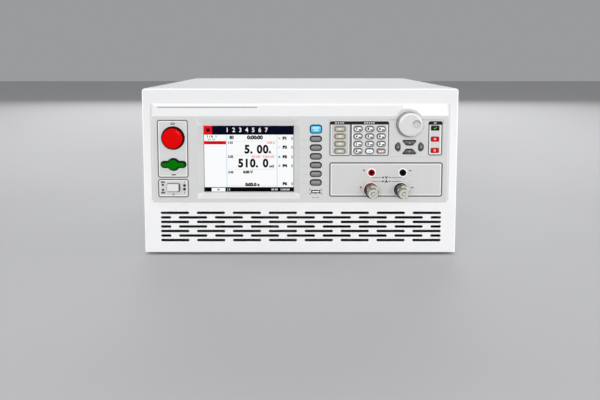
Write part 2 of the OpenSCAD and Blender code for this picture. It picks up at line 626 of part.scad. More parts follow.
// appliance inlet: flange on the panel, hooded socket with three blades
module mains_inlet() {
    color([0.07, 0.07, 0.07]) {
        difference() {
            union() {
                slab(-case_d - 1.5, -case_d + 1.45) translate(inlet_c) polygon(rr(50, 24, 6));
                slab(-case_d + 1.4, -case_d + 24) translate(inlet_c) square([27, 20], center = true);
            }
            slab(-case_d - 3, -case_d + 15) translate(inlet_c) polygon([
                [-12.2, -8.2], [12.2, -8.2], [12.2, 3.5], [7.5, 8.2], [-7.5, 8.2], [-12.2, 3.5]]);
            for (s = [-1, 1]) slab(-case_d - 3, -case_d + 3) translate([inlet_c[0] + s * 20, inlet_c[1]])
                circle(r = 1.7, $fn = 24);
        }
        for (v = [[-7, -1.5], [7, -1.5], [0, 2.5]])
            slab(-case_d + 3, -case_d + 16) translate([inlet_c[0] + v[0], inlet_c[1] + v[1]])
                square([2, 4], center = true);
    }
}
// stacked iron core of the supply transformer, on its foot strips
tr = [-110, 290];   // x, distance behind the plate
module transformer_core() {
    zb = z0 + sheet;
    color([0.35, 0.36, 0.38]) {
        difference() {
            dbox(tr[0] - 60, tr[0] + 60, tr[1] - 28, tr[1] + 28, zb + 3, zb + 103);
            for (s = [-1, 1]) dbox(tr[0] + s * 30 - 10, tr[0] + s * 30 + 10, tr[1] - 30, tr[1] + 30, zb + 23, zb + 83);
        }
        for (s = [-1, 1]) dbox(tr[0] + s * 60 - 14, tr[0] + s * 60 + 14, tr[1] - 28, tr[1] + 28, zb, zb + 3.1);
    }
}
// wound coil round the core's middle leg
module transformer_coil() {
    zb = z0 + sheet;
    color([0.62, 0.33, 0.14]) difference() {
        translate([tr[0], yf + tr[1], zb + 23.4]) linear_extrude(height = 59.2) polygon(rr(78.8, 96, 16));
        dbox(tr[0] - 20.3, tr[0] + 20.3, tr[1] - 28.3, tr[1] + 28.3, zb, zb + 120);
    }
}
// control and power board on its pillars
module main_board() {
    zb = z0 + sheet;
    color([0.1, 0.32, 0.18]) {
        dbox(-195, 30, 45, 205, zb + 8, zb + 9.6);
        for (x = [-188, -82, 23]) for (d = [52, 198]) translate([x, yf + d, zb]) cylinder(r = 3, h = 8.1, $fn = 24);
        for (i = [0:3]) translate([-170 + i * 28, yf + 170, zb + 9.5]) cylinder(r = 11, h = 34);
        for (i = [0:2]) dbox(-60 + i * 24, -42 + i * 24, 150, 180, zb + 9.5, zb + 27);
        dbox(-180, -120, 60, 90, zb + 9.5, zb + 18);
        for (i = [0:4]) dbox(-100 + i * 22, -88 + i * 22, 70, 96, zb + 9.5, zb + 14);
    }
}
// finned heat sink in the fan's air stream
module heat_sink() {
    zb = z0 + sheet;
    color([0.65, 0.66, 0.68]) {
        dbox(55, 195, 190, 340, zb, zb + 8);
        for (i = [0:15]) dbox(56 + i * 9.1, 58.4 + i * 9.1, 190, 340, zb + 7.9, zb + 78);
    }
}
module rubber_feet() {
    color([0.08, 0.08, 0.08]) for (x = [-175, 175]) for (d = [50, 350])
        translate([x, yf + d, 0]) difference() {
            cylinder(r1 = 9, r2 = 10, h = foot_h);
            translate([0, 0, -1]) cylinder(r = 3, h = 1 + foot_h * 0.6, $fn = 32);
        }
}
// pan head screw along +Z, head up, underside of the head at 0
module screw() {
    difference() {
        union() {
            cylinder(r = 3.6, h = 1.2, $fn = 40);
            translate([0, 0, -6.5]) cylinder(r = 1.95, h = 6.6, $fn = 32);
        }
        for (a = [0, 90]) rotate(a) translate([-2, -0.45, 0.2]) cube([4, 0.9, 3]);
    }
}
module case_screws() {
    color([0.75, 0.75, 0.76]) {
        for (s = [0, 1]) mirror([s, 0, 0]) for (d = [40, 200, 360])
            translate([hw + 0.02, yf + d, z0 + 11]) rotate([0, 90, 0]) screw();
        for (c = [[-200, z0 + 9], [-60, z0 + 9], [60, z0 + 9], [200, z0 + 9],
                  [-150, z1 - 10], [0, z1 - 10], [150, z1 - 10],
                  [fan_c[0] - 41.25, fan_c[1] - 41.25], [fan_c[0] + 41.25, fan_c[1] - 41.25],
                  [fan_c[0] - 41.25, fan_c[1] + 41.25], [fan_c[0] + 41.25, fan_c[1] + 41.25]])
            translate([c[0], yf + case_d - 1.48, c[1]]) rotate([-90, 0, 0]) screw();
    }
}

top_cover();
chassis_tray();
front_plate();
front_bezel();
front_overlay();
lcd_module();
front_board();
indicator_leds();
usb_port();
button_collars();
stop_button();
start_button();
power_button();
jog_knob();
sense_jack_red();
sense_jack_black();
post_base_red();
post_base_black();
post_studs();
post_washer_red();
post_washer_black();
post_nut_red();
post_nut_black();
key_blue();
soft_key(0);  // key_soft_1
soft_key(1);  // key_soft_2
soft_key(2);  // key_soft_3
soft_key(3);  // key_soft_4
soft_key(4);  // key_soft_5
soft_key(5);  // key_soft_6
func_key(0);  // key_func_1
func_key(1);  // key_func_2
func_key(2);  // key_func_3
func_key(3);  // key_func_4
num_key(0, 0);  // key_num_7
num_key(1, 0);  // key_num_8
num_key(2, 0);  // key_num_9
num_key(0, 1);  // key_num_4
num_key(1, 1);  // key_num_5
num_key(2, 1);  // key_num_6
num_key(0, 2);  // key_num_1
num_key(1, 2);  // key_num_2
num_key(2, 2);  // key_num_3
num_key(0, 3);  // key_num_0
num_key(1, 3);  // key_num_dot
key_enter();
key_up();
key_down();
key_left();
key_right();
rear_panel();
fan_frame();
fan_rotor();
mains_inlet();
transformer_core();
transformer_coil();
main_board();
heat_sink();
rubber_feet();
case_screws();
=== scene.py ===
import json
import math

import bmesh
import bpy
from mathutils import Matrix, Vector
from mathutils.geometry import tessellate_polygon


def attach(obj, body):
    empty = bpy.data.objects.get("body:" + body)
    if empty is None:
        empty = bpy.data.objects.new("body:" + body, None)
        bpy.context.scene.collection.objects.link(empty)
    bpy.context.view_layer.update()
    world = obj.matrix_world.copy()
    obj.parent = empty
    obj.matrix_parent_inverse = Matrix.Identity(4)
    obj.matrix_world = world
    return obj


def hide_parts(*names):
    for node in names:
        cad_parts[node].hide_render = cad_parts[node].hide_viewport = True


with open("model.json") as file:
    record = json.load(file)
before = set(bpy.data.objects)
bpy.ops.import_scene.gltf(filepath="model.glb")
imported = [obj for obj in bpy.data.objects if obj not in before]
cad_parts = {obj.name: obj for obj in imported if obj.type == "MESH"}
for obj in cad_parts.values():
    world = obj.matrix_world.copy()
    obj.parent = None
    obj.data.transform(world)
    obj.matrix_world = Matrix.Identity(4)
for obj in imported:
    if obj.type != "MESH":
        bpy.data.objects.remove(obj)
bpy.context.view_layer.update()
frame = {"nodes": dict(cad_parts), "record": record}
NODES = frame["nodes"]
MM = 0.001
YF = -181.25          # front face of the front plate, mm
FILM = 12.0           # front of the printed film, mm in front of the plate

# positions on the front, mm: the same numbers as the CAD source
SOFT_X = 21.15
SOFT_Z = [163.7, 151.8, 139.9, 128.0, 116.1, 104.2]
ROW_Z = [177.1, 167.1, 156.9, 147.1]
NUM_X = [77.8, 93.4, 108.9]
FUNC_X = 53.5
BLUE = (SOFT_X, 176.9, 14.7, 10.5, 3.0)
ENTER = (NUM_X[2], ROW_Z[3], 10.6, 5.6, 1.9)
UP, DOWN, LEFT, RIGHT = (147, 158.4), (147, 146.5), (131.4, 152.7), (162.6, 152.7)
SOFT_SIZE = (14.7, 7.3, 3.4)
FUNC_SIZE = (13.6, 6.2, 2.2)
NUM_SIZE = (11.0, 6.9, 3.3)
STOP, START = (-171.0, 164.8), (-170.8, 128.9)
POWER = (-171.5, 97.3, 16.6, 10.8, 2.4)
KNOB = (146.3, 184.2)
LED_X, LED_Z = -156.6, [100.1, 95.0]
LAMP_X, LAMP_Z = 181.2, [178.3, 163.4, 148.0]
USB = (SOFT_X, 91.7)
JACK_X, JACK_Z = [96.5, 138.7], 117.7
POST_X, POST_Z = [95.8, 136.3], 94.2
SCR = (-131.2, -8.4, 89.0, 181.2)


# ------------------------------------------------------------------ camera
def make_camera():
    cam = bpy.data.cameras.new("camera")
    cam.sensor_width = 36.0
    cam.lens = 582.5 / 600 * 36
    cam.shift_y = -0.15
    cam.clip_start, cam.clip_end = 0.05, 30
    ob = bpy.data.objects.new("camera", cam)
    bpy.context.scene.collection.objects.link(ob)
    ob.location = (-0.0002, -0.96978, 0.27153)
    ob.rotation_euler = (math.pi / 2 - 0.08845, 0, 0)
    bpy.context.scene.camera = ob


make_camera()


# ------------------------------------------------------------------ materials
def new_mat(name):
    m = bpy.data.materials.new(name)
    m.use_nodes = True
    nt = m.node_tree
    return m, nt, nt.nodes["Principled BSDF"]


def node(nt, kind, **values):
    n = nt.nodes.new(kind)
    for k, v in values.items():
        setattr(n, k, v)
    return n


def surface(name, color, rough=0.5, metal=0.0, grain=None, mottle=0.02, mottle_scale=14.0, rough_var=0.06,
            coat=0.0, coat_rough=0.1, ior=1.5, emit=None, emit_strength=0.0, stretch=None, specular=None):
    """A finish: base colour with slow mottling, roughness variation and a fine relief.
    grain is (features per metre, height in metres)."""
    m, nt, bsdf = new_mat(name)
    tc = node(nt, "ShaderNodeTexCoord")
    mp = node(nt, "ShaderNodeMapping")
    if stretch:
        mp.inputs["Scale"].default_value = stretch
    nt.links.new(tc.outputs["Object"], mp.inputs["Vector"])
    slow = node(nt, "ShaderNodeTexNoise")
    slow.inputs["Scale"].default_value = mottle_scale
    slow.inputs["Detail"].default_value = 4
    nt.links.new(tc.outputs["Object"], slow.inputs["Vector"])
    ramp = node(nt, "ShaderNodeMapRange")
    ramp.inputs["From Min"].default_value = 0.3
    ramp.inputs["From Max"].default_value = 0.7
    ramp.inputs["To Min"].default_value = 1 - mottle
    ramp.inputs["To Max"].default_value = 1 + mottle
    nt.links.new(slow.outputs["Fac"], ramp.inputs["Value"])
    mul = node(nt, "ShaderNodeVectorMath", operation="SCALE")
    mul.inputs[0].default_value = color[:3]
    nt.links.new(ramp.outputs["Result"], mul.inputs["Scale"])
    nt.links.new(mul.outputs["Vector"], bsdf.inputs["Base Color"])
    fine = node(nt, "ShaderNodeTexNoise")
    fine.inputs["Scale"].default_value = grain[0] if grain else 700
    fine.inputs["Detail"].default_value = 3
    nt.links.new(mp.outputs["Vector"], fine.inputs["Vector"])
    rr_ = node(nt, "ShaderNodeMapRange")
    rr_.inputs["From Min"].default_value = 0.3
    rr_.inputs["From Max"].default_value = 0.7
    rr_.inputs["To Min"].default_value = max(0.02, rough - rough_var)
    rr_.inputs["To Max"].default_value = min(1, rough + rough_var)
    nt.links.new(fine.outputs["Fac"], rr_.inputs["Value"])
    nt.links.new(rr_.outputs["Result"], bsdf.inputs["Roughness"])
    if grain:
        bump = node(nt, "ShaderNodeBump")
        bump.inputs["Strength"].default_value = 1.0
        bump.inputs["Distance"].default_value = grain[1]
        nt.links.new(fine.outputs["Fac"], bump.inputs["Height"])
        nt.links.new(bump.outputs["Normal"], bsdf.inputs["Normal"])
    bsdf.inputs["Metallic"].default_value = metal
    bsdf.inputs["IOR"].default_value = ior
    if coat:
        bsdf.inputs["Coat Weight"].default_value = coat
        bsdf.inputs["Coat Roughness"].default_value = coat_rough
    if specular is not None:
        bsdf.inputs["Specular IOR Level"].default_value = specular
    if emit:
        bsdf.inputs["Emission Color"].default_value = (*emit, 1)
        bsdf.inputs["Emission Strength"].default_value = emit_strength
    return m


def ink(name, color, rough=0.55):
    return surface(name, color, rough, grain=(1800, 0.000004), mottle=0.03, mottle_scale=300, specular=0.12)


MAT = {
    "cover_paint": surface("cover_paint", (0.69, 0.705, 0.715), 0.52, grain=(900, 0.00006), mottle=0.008, rough_var=0.08, specular=0.2),
    "plate_paint": surface("plate_paint", (0.88, 0.88, 0.882), 0.45, grain=(1100, 0.00004), mottle=0.006, rough_var=0.07, specular=0.3),
    "zinc_steel": surface("zinc_steel", (0.55, 0.56, 0.57), 0.35, 1.0, grain=(220, 0.00001), mottle=0.12, mottle_scale=60),
    "bezel_white": surface("bezel_white", (0.86, 0.86, 0.86), 0.4, grain=(1600, 0.00002), mottle=0.005, specular=0.3),
    "film_grey": surface("film_grey", (0.63, 0.63, 0.625), 0.5, grain=(2600, 0.000008), mottle=0.008, specular=0.3),
    "screen_black": surface("screen_black", (0.012, 0.012, 0.016), 0.18, grain=(900, 0.000002), coat=0.5),
    "circuit_board": surface("circuit_board", (0.006, 0.030, 0.013), 0.35, grain=(500, 0.00003), mottle=0.2, mottle_scale=90),
    "connector_steel": surface("connector_steel", (0.72, 0.73, 0.75), 0.25, 1.0, grain=(900, 0.000006)),
    "black_plastic": surface("black_plastic", (0.006, 0.006, 0.006), 0.45, grain=(1500, 0.00002), specular=0.15),
    "terminal_red": surface("terminal_red", (0.52, 0.002, 0.005), 0.32, grain=(1200, 0.000006), specular=0.05),
    "terminal_black": surface("terminal_black", (0.003, 0.003, 0.003), 0.34, grain=(1200, 0.000006), specular=0.04),
    "nickel": surface("nickel", (0.47, 0.475, 0.43), 0.50, 1.0, grain=(1400, 0.000006), mottle=0.04, stretch=(1, 0.2, 1)),
    "core_iron": surface("core_iron", (0.06, 0.06, 0.065), 0.5, 0.3, grain=(800, 0.00005), stretch=(1, 8, 1)),
    "copper_winding": surface("copper_winding", (0.30, 0.11, 0.03), 0.4, 0.2, grain=(500, 0.0001), stretch=(0.2, 0.2, 3)),
    "aluminium": surface("anodised_black", (0.016, 0.016, 0.018), 0.45, 0.2, grain=(900, 0.00001), stretch=(1, 0.05, 1), specular=0.15),
    "rubber": surface("rubber", (0.02, 0.02, 0.02), 0.8, grain=(1500, 0.00004)),
    "screw_steel": surface("screw_steel", (0.62, 0.62, 0.63), 0.28, 1.0, grain=(1600, 0.000006)),
    "button_red": surface("button_red", (0.70, 0.0010, 0.0012), 0.40, grain=(900, 0.000008), mottle=0.01, specular=0.02),
    "button_green": surface("button_green", (0.0, 0.160, 0.001), 0.40, grain=(900, 0.000008), mottle=0.01, specular=0.02),
    "knob_grey": surface("knob_grey", (0.73, 0.73, 0.725), 0.42, grain=(1600, 0.000012), mottle=0.006),
    "key_grey": surface("key_grey", (0.205, 0.205, 0.205), 0.40, grain=(1600, 0.00001)),
    "key_beige": surface("key_beige", (0.49, 0.467, 0.375), 0.42, grain=(1600, 0.00001), specular=0.3),
    "key_white": surface("key_white", (0.86, 0.86, 0.86), 0.38, grain=(1600, 0.00001)),
    # the blue key's cap carries a faint painted glow from emission, though it holds no lamp
    "key_blue": surface("key_blue", (0.03, 0.50, 0.82), 0.32, grain=(1600, 0.000008), emit=(0.02, 0.42, 0.85), emit_strength=0.12),
    "key_rose": surface("key_rose", (0.52, 0.41, 0.38), 0.42, grain=(1600, 0.00001)),
    "key_dark": surface("key_dark", (0.060, 0.060, 0.060), 0.40, grain=(1600, 0.00001)),
    "lamp_red": surface("lamp_red", (0.085, 0.002, 0.010), 0.25, grain=(900, 0.000004), specular=0.25),
    "lamp_window": surface("lamp_window", (0.52, 0.001, 0.001), 0.30, grain=(900, 0.000004), emit=(0.70, 0.001, 0.001), emit_strength=0.12, specular=0.06),
    # the key caps' skirts and shoulders: darker copies of the key colours, painted shade
    "side_dark": surface("side_dark", (0.022, 0.022, 0.023), 0.45, grain=(1600, 0.00001), specular=0.2),
    "side_navy": surface("side_navy", (0.006, 0.060, 0.15), 0.35, grain=(1600, 0.00001)),
    "side_khaki": surface("side_khaki", (0.13, 0.12, 0.085), 0.45, grain=(1600, 0.00001)),
    "side_grey": surface("side_grey", (0.22, 0.22, 0.225), 0.45, grain=(1600, 0.00001)),
    "side_green": surface("side_green", (0.0, 0.040, 0.001), 0.40, grain=(900, 0.000008), specular=0.04),
    "side_rose": surface("side_rose", (0.22, 0.155, 0.14), 0.45, grain=(1600, 0.00001)),
}
INK = {
    "black": ink("ink_black", (0.010, 0.010, 0.010)),
    "grey": ink("ink_grey", (0.150, 0.150, 0.150)),
    "mid": ink("ink_mid", (0.40, 0.40, 0.40)),
    "pale": ink("ink_pale", (0.50, 0.50, 0.495)),
    "white": ink("ink_white", (0.96, 0.96, 0.96)),
    "panel": ink("ink_panel", (0.565, 0.56, 0.54)),
    "panel2": ink("ink_panel2", (0.625, 0.625, 0.62)),
    "red": ink("ink_red", (0.50, 0.03, 0.05)),
    "rim": ink("ink_rim", (0.035, 0.035, 0.035)),
    "blue": ink("ink_blue", (0.006, 0.085, 0.175)),
    "key_text": ink("ink_key_text", (0.012, 0.012, 0.012)),
    "khaki": ink("ink_khaki", (0.10, 0.095, 0.070)),
    # a grey ink for a printed rule and for the painted shadow round the knob
    "shade": ink("ink_rule_and_shadow", (0.26, 0.26, 0.26)),
}


def two_tone(m, tests, color, metal=None):
    """Gives the part of a surface that passes every test (axis, centre, sign, limit in metres) another colour.
    sign 0 tests the distance from the centre, 1 and -1 test for above and below the limit. Axis R is the distance
    from a centre in X and Z."""
    nt = m.node_tree
    bsdf = nt.nodes["Principled BSDF"]
    tc = node(nt, "ShaderNodeTexCoord")
    sep = node(nt, "ShaderNodeSeparateXYZ")
    nt.links.new(tc.outputs["Object"], sep.inputs["Vector"])
    mask = None
    for axis, centre, sign, limit in tests:
        if axis == "R":
            sq = []
            for ax, c in zip("XZ", centre):
                d = node(nt, "ShaderNodeMath", operation="SUBTRACT")
                nt.links.new(sep.outputs[ax], d.inputs[0])
                d.inputs[1].default_value = c
                m2 = node(nt, "ShaderNodeMath", operation="MULTIPLY")
                nt.links.new(d.outputs[0], m2.inputs[0])
                nt.links.new(d.outputs[0], m2.inputs[1])
                sq.append(m2.outputs[0])
            add = node(nt, "ShaderNodeMath", operation="ADD")
            nt.links.new(sq[0], add.inputs[0])
            nt.links.new(sq[1], add.inputs[1])
            root = node(nt, "ShaderNodeMath", operation="SQRT")
            nt.links.new(add.outputs[0], root.inputs[0])
            out = root.outputs[0]
        else:
            out = sep.outputs[axis]
        if sign == 0:
            d = node(nt, "ShaderNodeMath", operation="SUBTRACT")
            nt.links.new(out, d.inputs[0])
            d.inputs[1].default_value = centre
            a = node(nt, "ShaderNodeMath", operation="ABSOLUTE")
            nt.links.new(d.outputs[0], a.inputs[0])
            out = a.outputs[0]
        t = node(nt, "ShaderNodeMath", operation="GREATER_THAN" if sign > 0 else "LESS_THAN")
        nt.links.new(out, t.inputs[0])
        t.inputs[1].default_value = limit
        if mask is None:
            mask = t.outputs[0]
        else:
            k = node(nt, "ShaderNodeMath", operation="MULTIPLY")
            nt.links.new(mask, k.inputs[0])
            nt.links.new(t.outputs[0], k.inputs[1])
            mask = k.outputs[0]
    mix = node(nt, "ShaderNodeMix", data_type="RGBA")
    nt.links.new(mask, mix.inputs["Factor"])
    nt.links.new(bsdf.inputs["Base Color"].links[0].from_socket, mix.inputs[6])
    mix.inputs[7].default_value = (*color, 1)
    nt.links.new(mix.outputs[2], bsdf.inputs["Base Color"])
    if metal is not None:
        mm = node(nt, "ShaderNodeMix", data_type="FLOAT")
        nt.links.new(mask, mm.inputs["Factor"])
        mm.inputs[2].default_value = bsdf.inputs["Metallic"].default_value
        mm.inputs[3].default_value = metal
        nt.links.new(mm.outputs[0], bsdf.inputs["Metallic"])


def grade(m, axis, a, b, ka, kb):
    """Scales a surface's colour by ka where its coordinate is at or below a, and by kb at or above b."""
    nt = m.node_tree
    bsdf = nt.nodes["Principled BSDF"]
    tc = node(nt, "ShaderNodeTexCoord")
    sep = node(nt, "ShaderNodeSeparateXYZ")
    nt.links.new(tc.outputs["Object"], sep.inputs["Vector"])
    mr = node(nt, "ShaderNodeMapRange")
    mr.inputs["From Min"].default_value = a
    mr.inputs["From Max"].default_value = b
    mr.inputs["To Min"].default_value = ka
    mr.inputs["To Max"].default_value = kb
    nt.links.new(sep.outputs[axis], mr.inputs["Value"])
    k = node(nt, "ShaderNodeVectorMath", operation="SCALE")
    nt.links.new(bsdf.inputs["Base Color"].links[0].from_socket, k.inputs[0])
    nt.links.new(mr.outputs["Result"], k.inputs["Scale"])
    nt.links.new(k.outputs["Vector"], bsdf.inputs["Base Color"])


# painted light: the plate's colour is scaled a little darker towards the top, evening out the light that falls on it
grade(MAT["plate_paint"], "Z", 0.07, 0.22, 0.985, 0.875)
# painted shade: the walls of the vent slots are painted black between the plate's faces
two_tone(MAT["plate_paint"], [("X", 0, 0, 0.2), ("Z", 0.0385, 0, 0.0235), ("Y", 0, 1, YF * MM + 0.00002)], (0.005, 0.005, 0.005))
# painted shade: the tray's floor under the air path behind the slots is painted dark, for the shade seen through them
two_tone(MAT["zinc_steel"], [("X", 0, 0, 0.2105), ("Z", 0.0048, 0, 0.0007), ("Y", 0, -1, (YF + 300) * MM)], (0.010, 0.010, 0.010), 0.0)
# the socket's steel; painted shade: inside the mouth its contact tongue is painted near black where it shows above the
# white carrier
MAT["usb_steel"] = surface("usb_steel", (0.78, 0.79, 0.80), 0.30, 1.0, grain=(900, 0.000006))
two_tone(MAT["usb_steel"], [("X", USB[0] * MM, 0, 0.00567), ("Z", (USB[1] + 1.0) * MM, 0, 0.00094), ("Y", 0, 1, (YF - 11.05) * MM)],
         (0.02, 0.02, 0.02), 0.0)
# its flange is matt with dark corner lugs, and the walls of its mouth are in shade
two_tone(MAT["usb_steel"], [("X", USB[0] * MM, 0, 0.0080), ("Z", USB[1] * MM, 0, 0.0040), ("Y", 0, -1, (YF - 12.6) * MM)], (0.60, 0.60, 0.61), 0.1)
for sx in (-1, 1):
    for sz in (-1, 1):
        two_tone(MAT["usb_steel"], [("X", (USB[0] + sx * 7.45) * MM, 0, 0.00080), ("Z", (USB[1] + sz * 2.85) * MM, 0, 0.00065), ("Y", 0, -1, (YF - 12.6) * MM)],
                 (0.03, 0.03, 0.03))
two_tone(MAT["usb_steel"], [("X", USB[0] * MM, 0, 0.00630), ("Z", USB[1] * MM, 0, 0.00260), ("Y", 0, 1, (YF - 12.6) * MM)], (0.05, 0.05, 0.05))


# painted light: the display recess is toned the film's grey, and its upper wall, and still more its lower wall, are
# painted lighter as the light falling on them
FUNNEL = [("X", -0.06975, 0, 0.0712), ("Z", 0.13635, 0, 0.0560)]
two_tone(MAT["bezel_white"], FUNNEL, (0.66, 0.66, 0.655))
two_tone(MAT["bezel_white"], FUNNEL + [("Z", 0, 1, 0.18145)], (0.745, 0.745, 0.74))
two_tone(MAT["bezel_white"], FUNNEL + [("Z", 0, -1, 0.0888)], (0.82, 0.82, 0.815))
# painted highlights: the strip's upper edge and its right end are painted a brighter white; the rest of the strip is a
# touch brighter than the bezel
two_tone(MAT["bezel_white"], [("Z", 0, 1, 0.1953)], (0.865, 0.865, 0.865))
two_tone(MAT["bezel_white"], [("Z", 0, 1, 0.2076)], (0.99, 0.99, 0.99))
two_tone(MAT["bezel_white"], [("Z", 0, 1, 0.1953), ("X", 0, 1, 0.1395)], (0.99, 0.99, 0.99))
# painted shadow: the plate is a little darker close beside the bezel's ends
for sx in (-1, 1):
    two_tone(MAT["plate_paint"], [("X", sx * 0.2030, 0, 0.0011), ("Z", 0.1432, 0, 0.0665), ("Y", 0, -1, (YF + 0.5) * MM)], (0.66, 0.66, 0.665))
# painted highlight: the plate's rounded edges are painted a brighter white
for edge in ([("Z", 0, 1, 0.2289)], [("X", 0, 1, 0.2135)], [("X", 0, -1, -0.2135)]):
    two_tone(MAT["plate_paint"], edge, (0.99, 0.99, 0.99))
# painted shade and reflection: the posts' nuts are painted darker over their wide grip, lighter on its right, and near
# black on its left and lower left
for px in POST_X:
    collar = [("Y", 0, 1, (YF - 27.5) * MM), ("Y", 0, -1, (YF - 18.3) * MM)]
    two_tone(MAT["nickel"], collar + [("X", px * MM, 0, 0.012)], (0.17, 0.175, 0.130), 0.2)
    two_tone(MAT["nickel"], collar + [("X", (px + 5.5) * MM, 0, 0.0065)], (0.47, 0.475, 0.43), 0.3)
    two_tone(MAT["nickel"], collar + [("X", (px - 9.7) * MM, 0, 0.0023)], (0.030, 0.033, 0.018), 0.1)
    two_tone(MAT["nickel"], collar + [("X", (px - 8.3) * MM, 0, 0.0037), ("Z", 0, -1, (POST_Z + 3.0) * MM)], (0.030, 0.033, 0.018), 0.1)
# the red post's base is a deeper red than the jack, and its lower left is painted a dark olive as painted shade
two_tone(MAT["terminal_red"], [("R", (POST_X[0] * MM, POST_Z * MM), -1, 0.0115)], (0.30, 0.0015, 0.004))
two_tone(MAT["terminal_red"], [("R", (POST_X[0] * MM, POST_Z * MM), -1, 0.0115), ("X", 0, -1, (POST_X[0] - 4.5) * MM), ("Z", 0, -1, (POST_Z + 4.5) * MM)],
         (0.060, 0.012, 0.008))
# painted shade: the power button's lower and right shoulders are painted darker, and its left shoulder a little darker
power_zone = [("X", POWER[0] * MM, 0, 0.0095), ("Z", POWER[1] * MM, 0, 0.0065)]
two_tone(MAT["knob_grey"], power_zone + [("Z", 0, -1, (POWER[1] - 4.3) * MM)], (0.19, 0.19, 0.19))
two_tone(MAT["knob_grey"], power_zone + [("X", 0, 1, (POWER[0] + 7.35) * MM)], (0.19, 0.19, 0.19))
two_tone(MAT["knob_grey"], power_zone + [("X", 0, -1, (POWER[0] - 7.75) * MM)], (0.30, 0.30, 0.30))
# painted shade: the stop button's shoulder is painted darker
two_tone(MAT["button_red"], [("R", (STOP[0] * MM, STOP[1] * MM), 1, 0.0134)], (0.27, 0.001, 0.001))
two_tone(MAT["button_red"], [("R", (STOP[0] * MM, STOP[1] * MM), 1, 0.01395)], (0.02, 0.0002, 0.0002))
# and a painted highlight, a small lighter arc, lies on its upper right
two_tone(MAT["button_red"], [("R", (STOP[0] * MM, STOP[1] * MM), 1, 0.0102), ("R", (STOP[0] * MM, STOP[1] * MM), -1, 0.0116),
                             ("X", 0, 1, (STOP[0] + 5.0) * MM), ("Z", 0, 1, (STOP[1] + 5.0) * MM)], (0.86, 0.035, 0.030))
# the jog knob's face is a slightly darker grey than the power button; its rounded rim carries painted highlights,
# brightest on the upper crescent
KNOB_AXIS = (KNOB[0] * MM, KNOB[1] * MM)
DIMPLE = (KNOB_AXIS[0] + 0.0076, KNOB_AXIS[1] + 0.0005)
two_tone(MAT["knob_grey"], [("R", KNOB_AXIS, -1, 0.0180)], (0.625, 0.625, 0.62))
two_tone(MAT["knob_grey"], [("R", KNOB_AXIS, 1, 0.0132), ("R", KNOB_AXIS, -1, 0.0180), ("Z", 0, 1, KNOB_AXIS[1] + 0.0035),
                            ("Y", 0, -1, (YF - 22.6) * MM)], (0.86, 0.86, 0.86))
# painted shade: the dimple is darker
two_tone(MAT["knob_grey"], [("R", DIMPLE, -1, 0.0050), ("Y", 0, 1, (YF - 24.97) * MM), ("Y", 0, -1, (YF - 20.0) * MM)], (0.56, 0.56, 0.555))
# painted highlight round the whole front rim
two_tone(MAT["knob_grey"], [("R", KNOB_AXIS, 1, 0.0146), ("R", KNOB_AXIS, -1, 0.0180), ("Y", 0, -1, (YF - 22.6) * MM)], (0.97, 0.97, 0.97))
# painted shade: the knob's side behind the rim is darker
two_tone(MAT["knob_grey"], [("R", KNOB_AXIS, 1, 0.0140), ("R", KNOB_AXIS, -1, 0.0180), ("Y", 0, 1, (YF - 22.6) * MM)], (0.45, 0.45, 0.45))
# painted shade: the dimple's upper wall is painted darker
two_tone(MAT["knob_grey"], [("R", (KNOB_AXIS[0] + 0.0076, KNOB_AXIS[1] + 0.0005), 1, 0.0041), ("R", (KNOB_AXIS[0] + 0.0076, KNOB_AXIS[1] + 0.0005), -1, 0.0056),
                            ("Z", 0, 1, KNOB_AXIS[1] + 0.0006), ("Y", 0, 1, (YF - 24.97) * MM), ("Y", 0, -1, (YF - 21.0) * MM)], (0.34, 0.34, 0.34))


def screen_mat(name, color, strength=1.0):
    m, nt, bsdf = new_mat(name)
    tc = node(nt, "ShaderNodeTexCoord")
    # the display's fine pixel grid
    wave = node(nt, "ShaderNodeTexWave", wave_type="BANDS", bands_direction="Z")
    wave.inputs["Scale"].default_value = 420
    nt.links.new(tc.outputs["Object"], wave.inputs["Vector"])
    mr = node(nt, "ShaderNodeMapRange")
    mr.inputs["To Min"].default_value = 0.94
    mr.inputs["To Max"].default_value = 1.0
    nt.links.new(wave.outputs["Fac"], mr.inputs["Value"])
    mul = node(nt, "ShaderNodeVectorMath", operation="SCALE")
    mul.inputs[0].default_value = color
    nt.links.new(mr.outputs["Result"], mul.inputs["Scale"])
    nt.links.new(mul.outputs["Vector"], bsdf.inputs["Emission Color"])
    bsdf.inputs["Base Color"].default_value = (0.0, 0.0, 0.0, 1)
    bsdf.inputs["Emission Strength"].default_value = strength
    bsdf.inputs["Roughness"].default_value = 0.35
    bsdf.inputs["Specular IOR Level"].default_value = 0.01
    return m


GLOW = {
    "white": screen_mat("glow_white", (0.98, 0.99, 1.0)),
    "navy": screen_mat("glow_navy", (0.0015, 0.002, 0.014)),
    "black": screen_mat("glow_black", (0.002, 0.002, 0.003)),
    "line": screen_mat("glow_line", (0.62, 0.80, 0.90)),
    "hair": screen_mat("glow_hair", (0.72, 0.76, 0.80)),
    "red": screen_mat("glow_red", (0.85, 0.004, 0.004)),
    "pink": screen_mat("glow_pink", (0.95, 0.22, 0.22)),
    "grey": screen_mat("glow_grey", (0.25, 0.26, 0.28)),
    "yellow": screen_mat("glow_yellow", (0.85, 0.60, 0.08)),
    "blue": screen_mat("glow_blue", (0.03, 0.38, 0.72)),
    "green": screen_mat("glow_green", (0.10, 0.75, 0.12), 1.2),
    "lamp_dark": surface("lamp_dark", (0.010, 0.012, 0.004), 0.30, grain=(900, 0.000004), specular=0.06),
}


# ------------------------------------------------------------------ outlines, mm in X and Z
def arc(cx, cy, r, a0, a1, n):
    return [(cx + r * math.cos(math.radians(a0 + (a1 - a0) * i / n)),
             cy + r * math.sin(math.radians(a0 + (a1 - a0) * i / n))) for i in range(n + 1)]


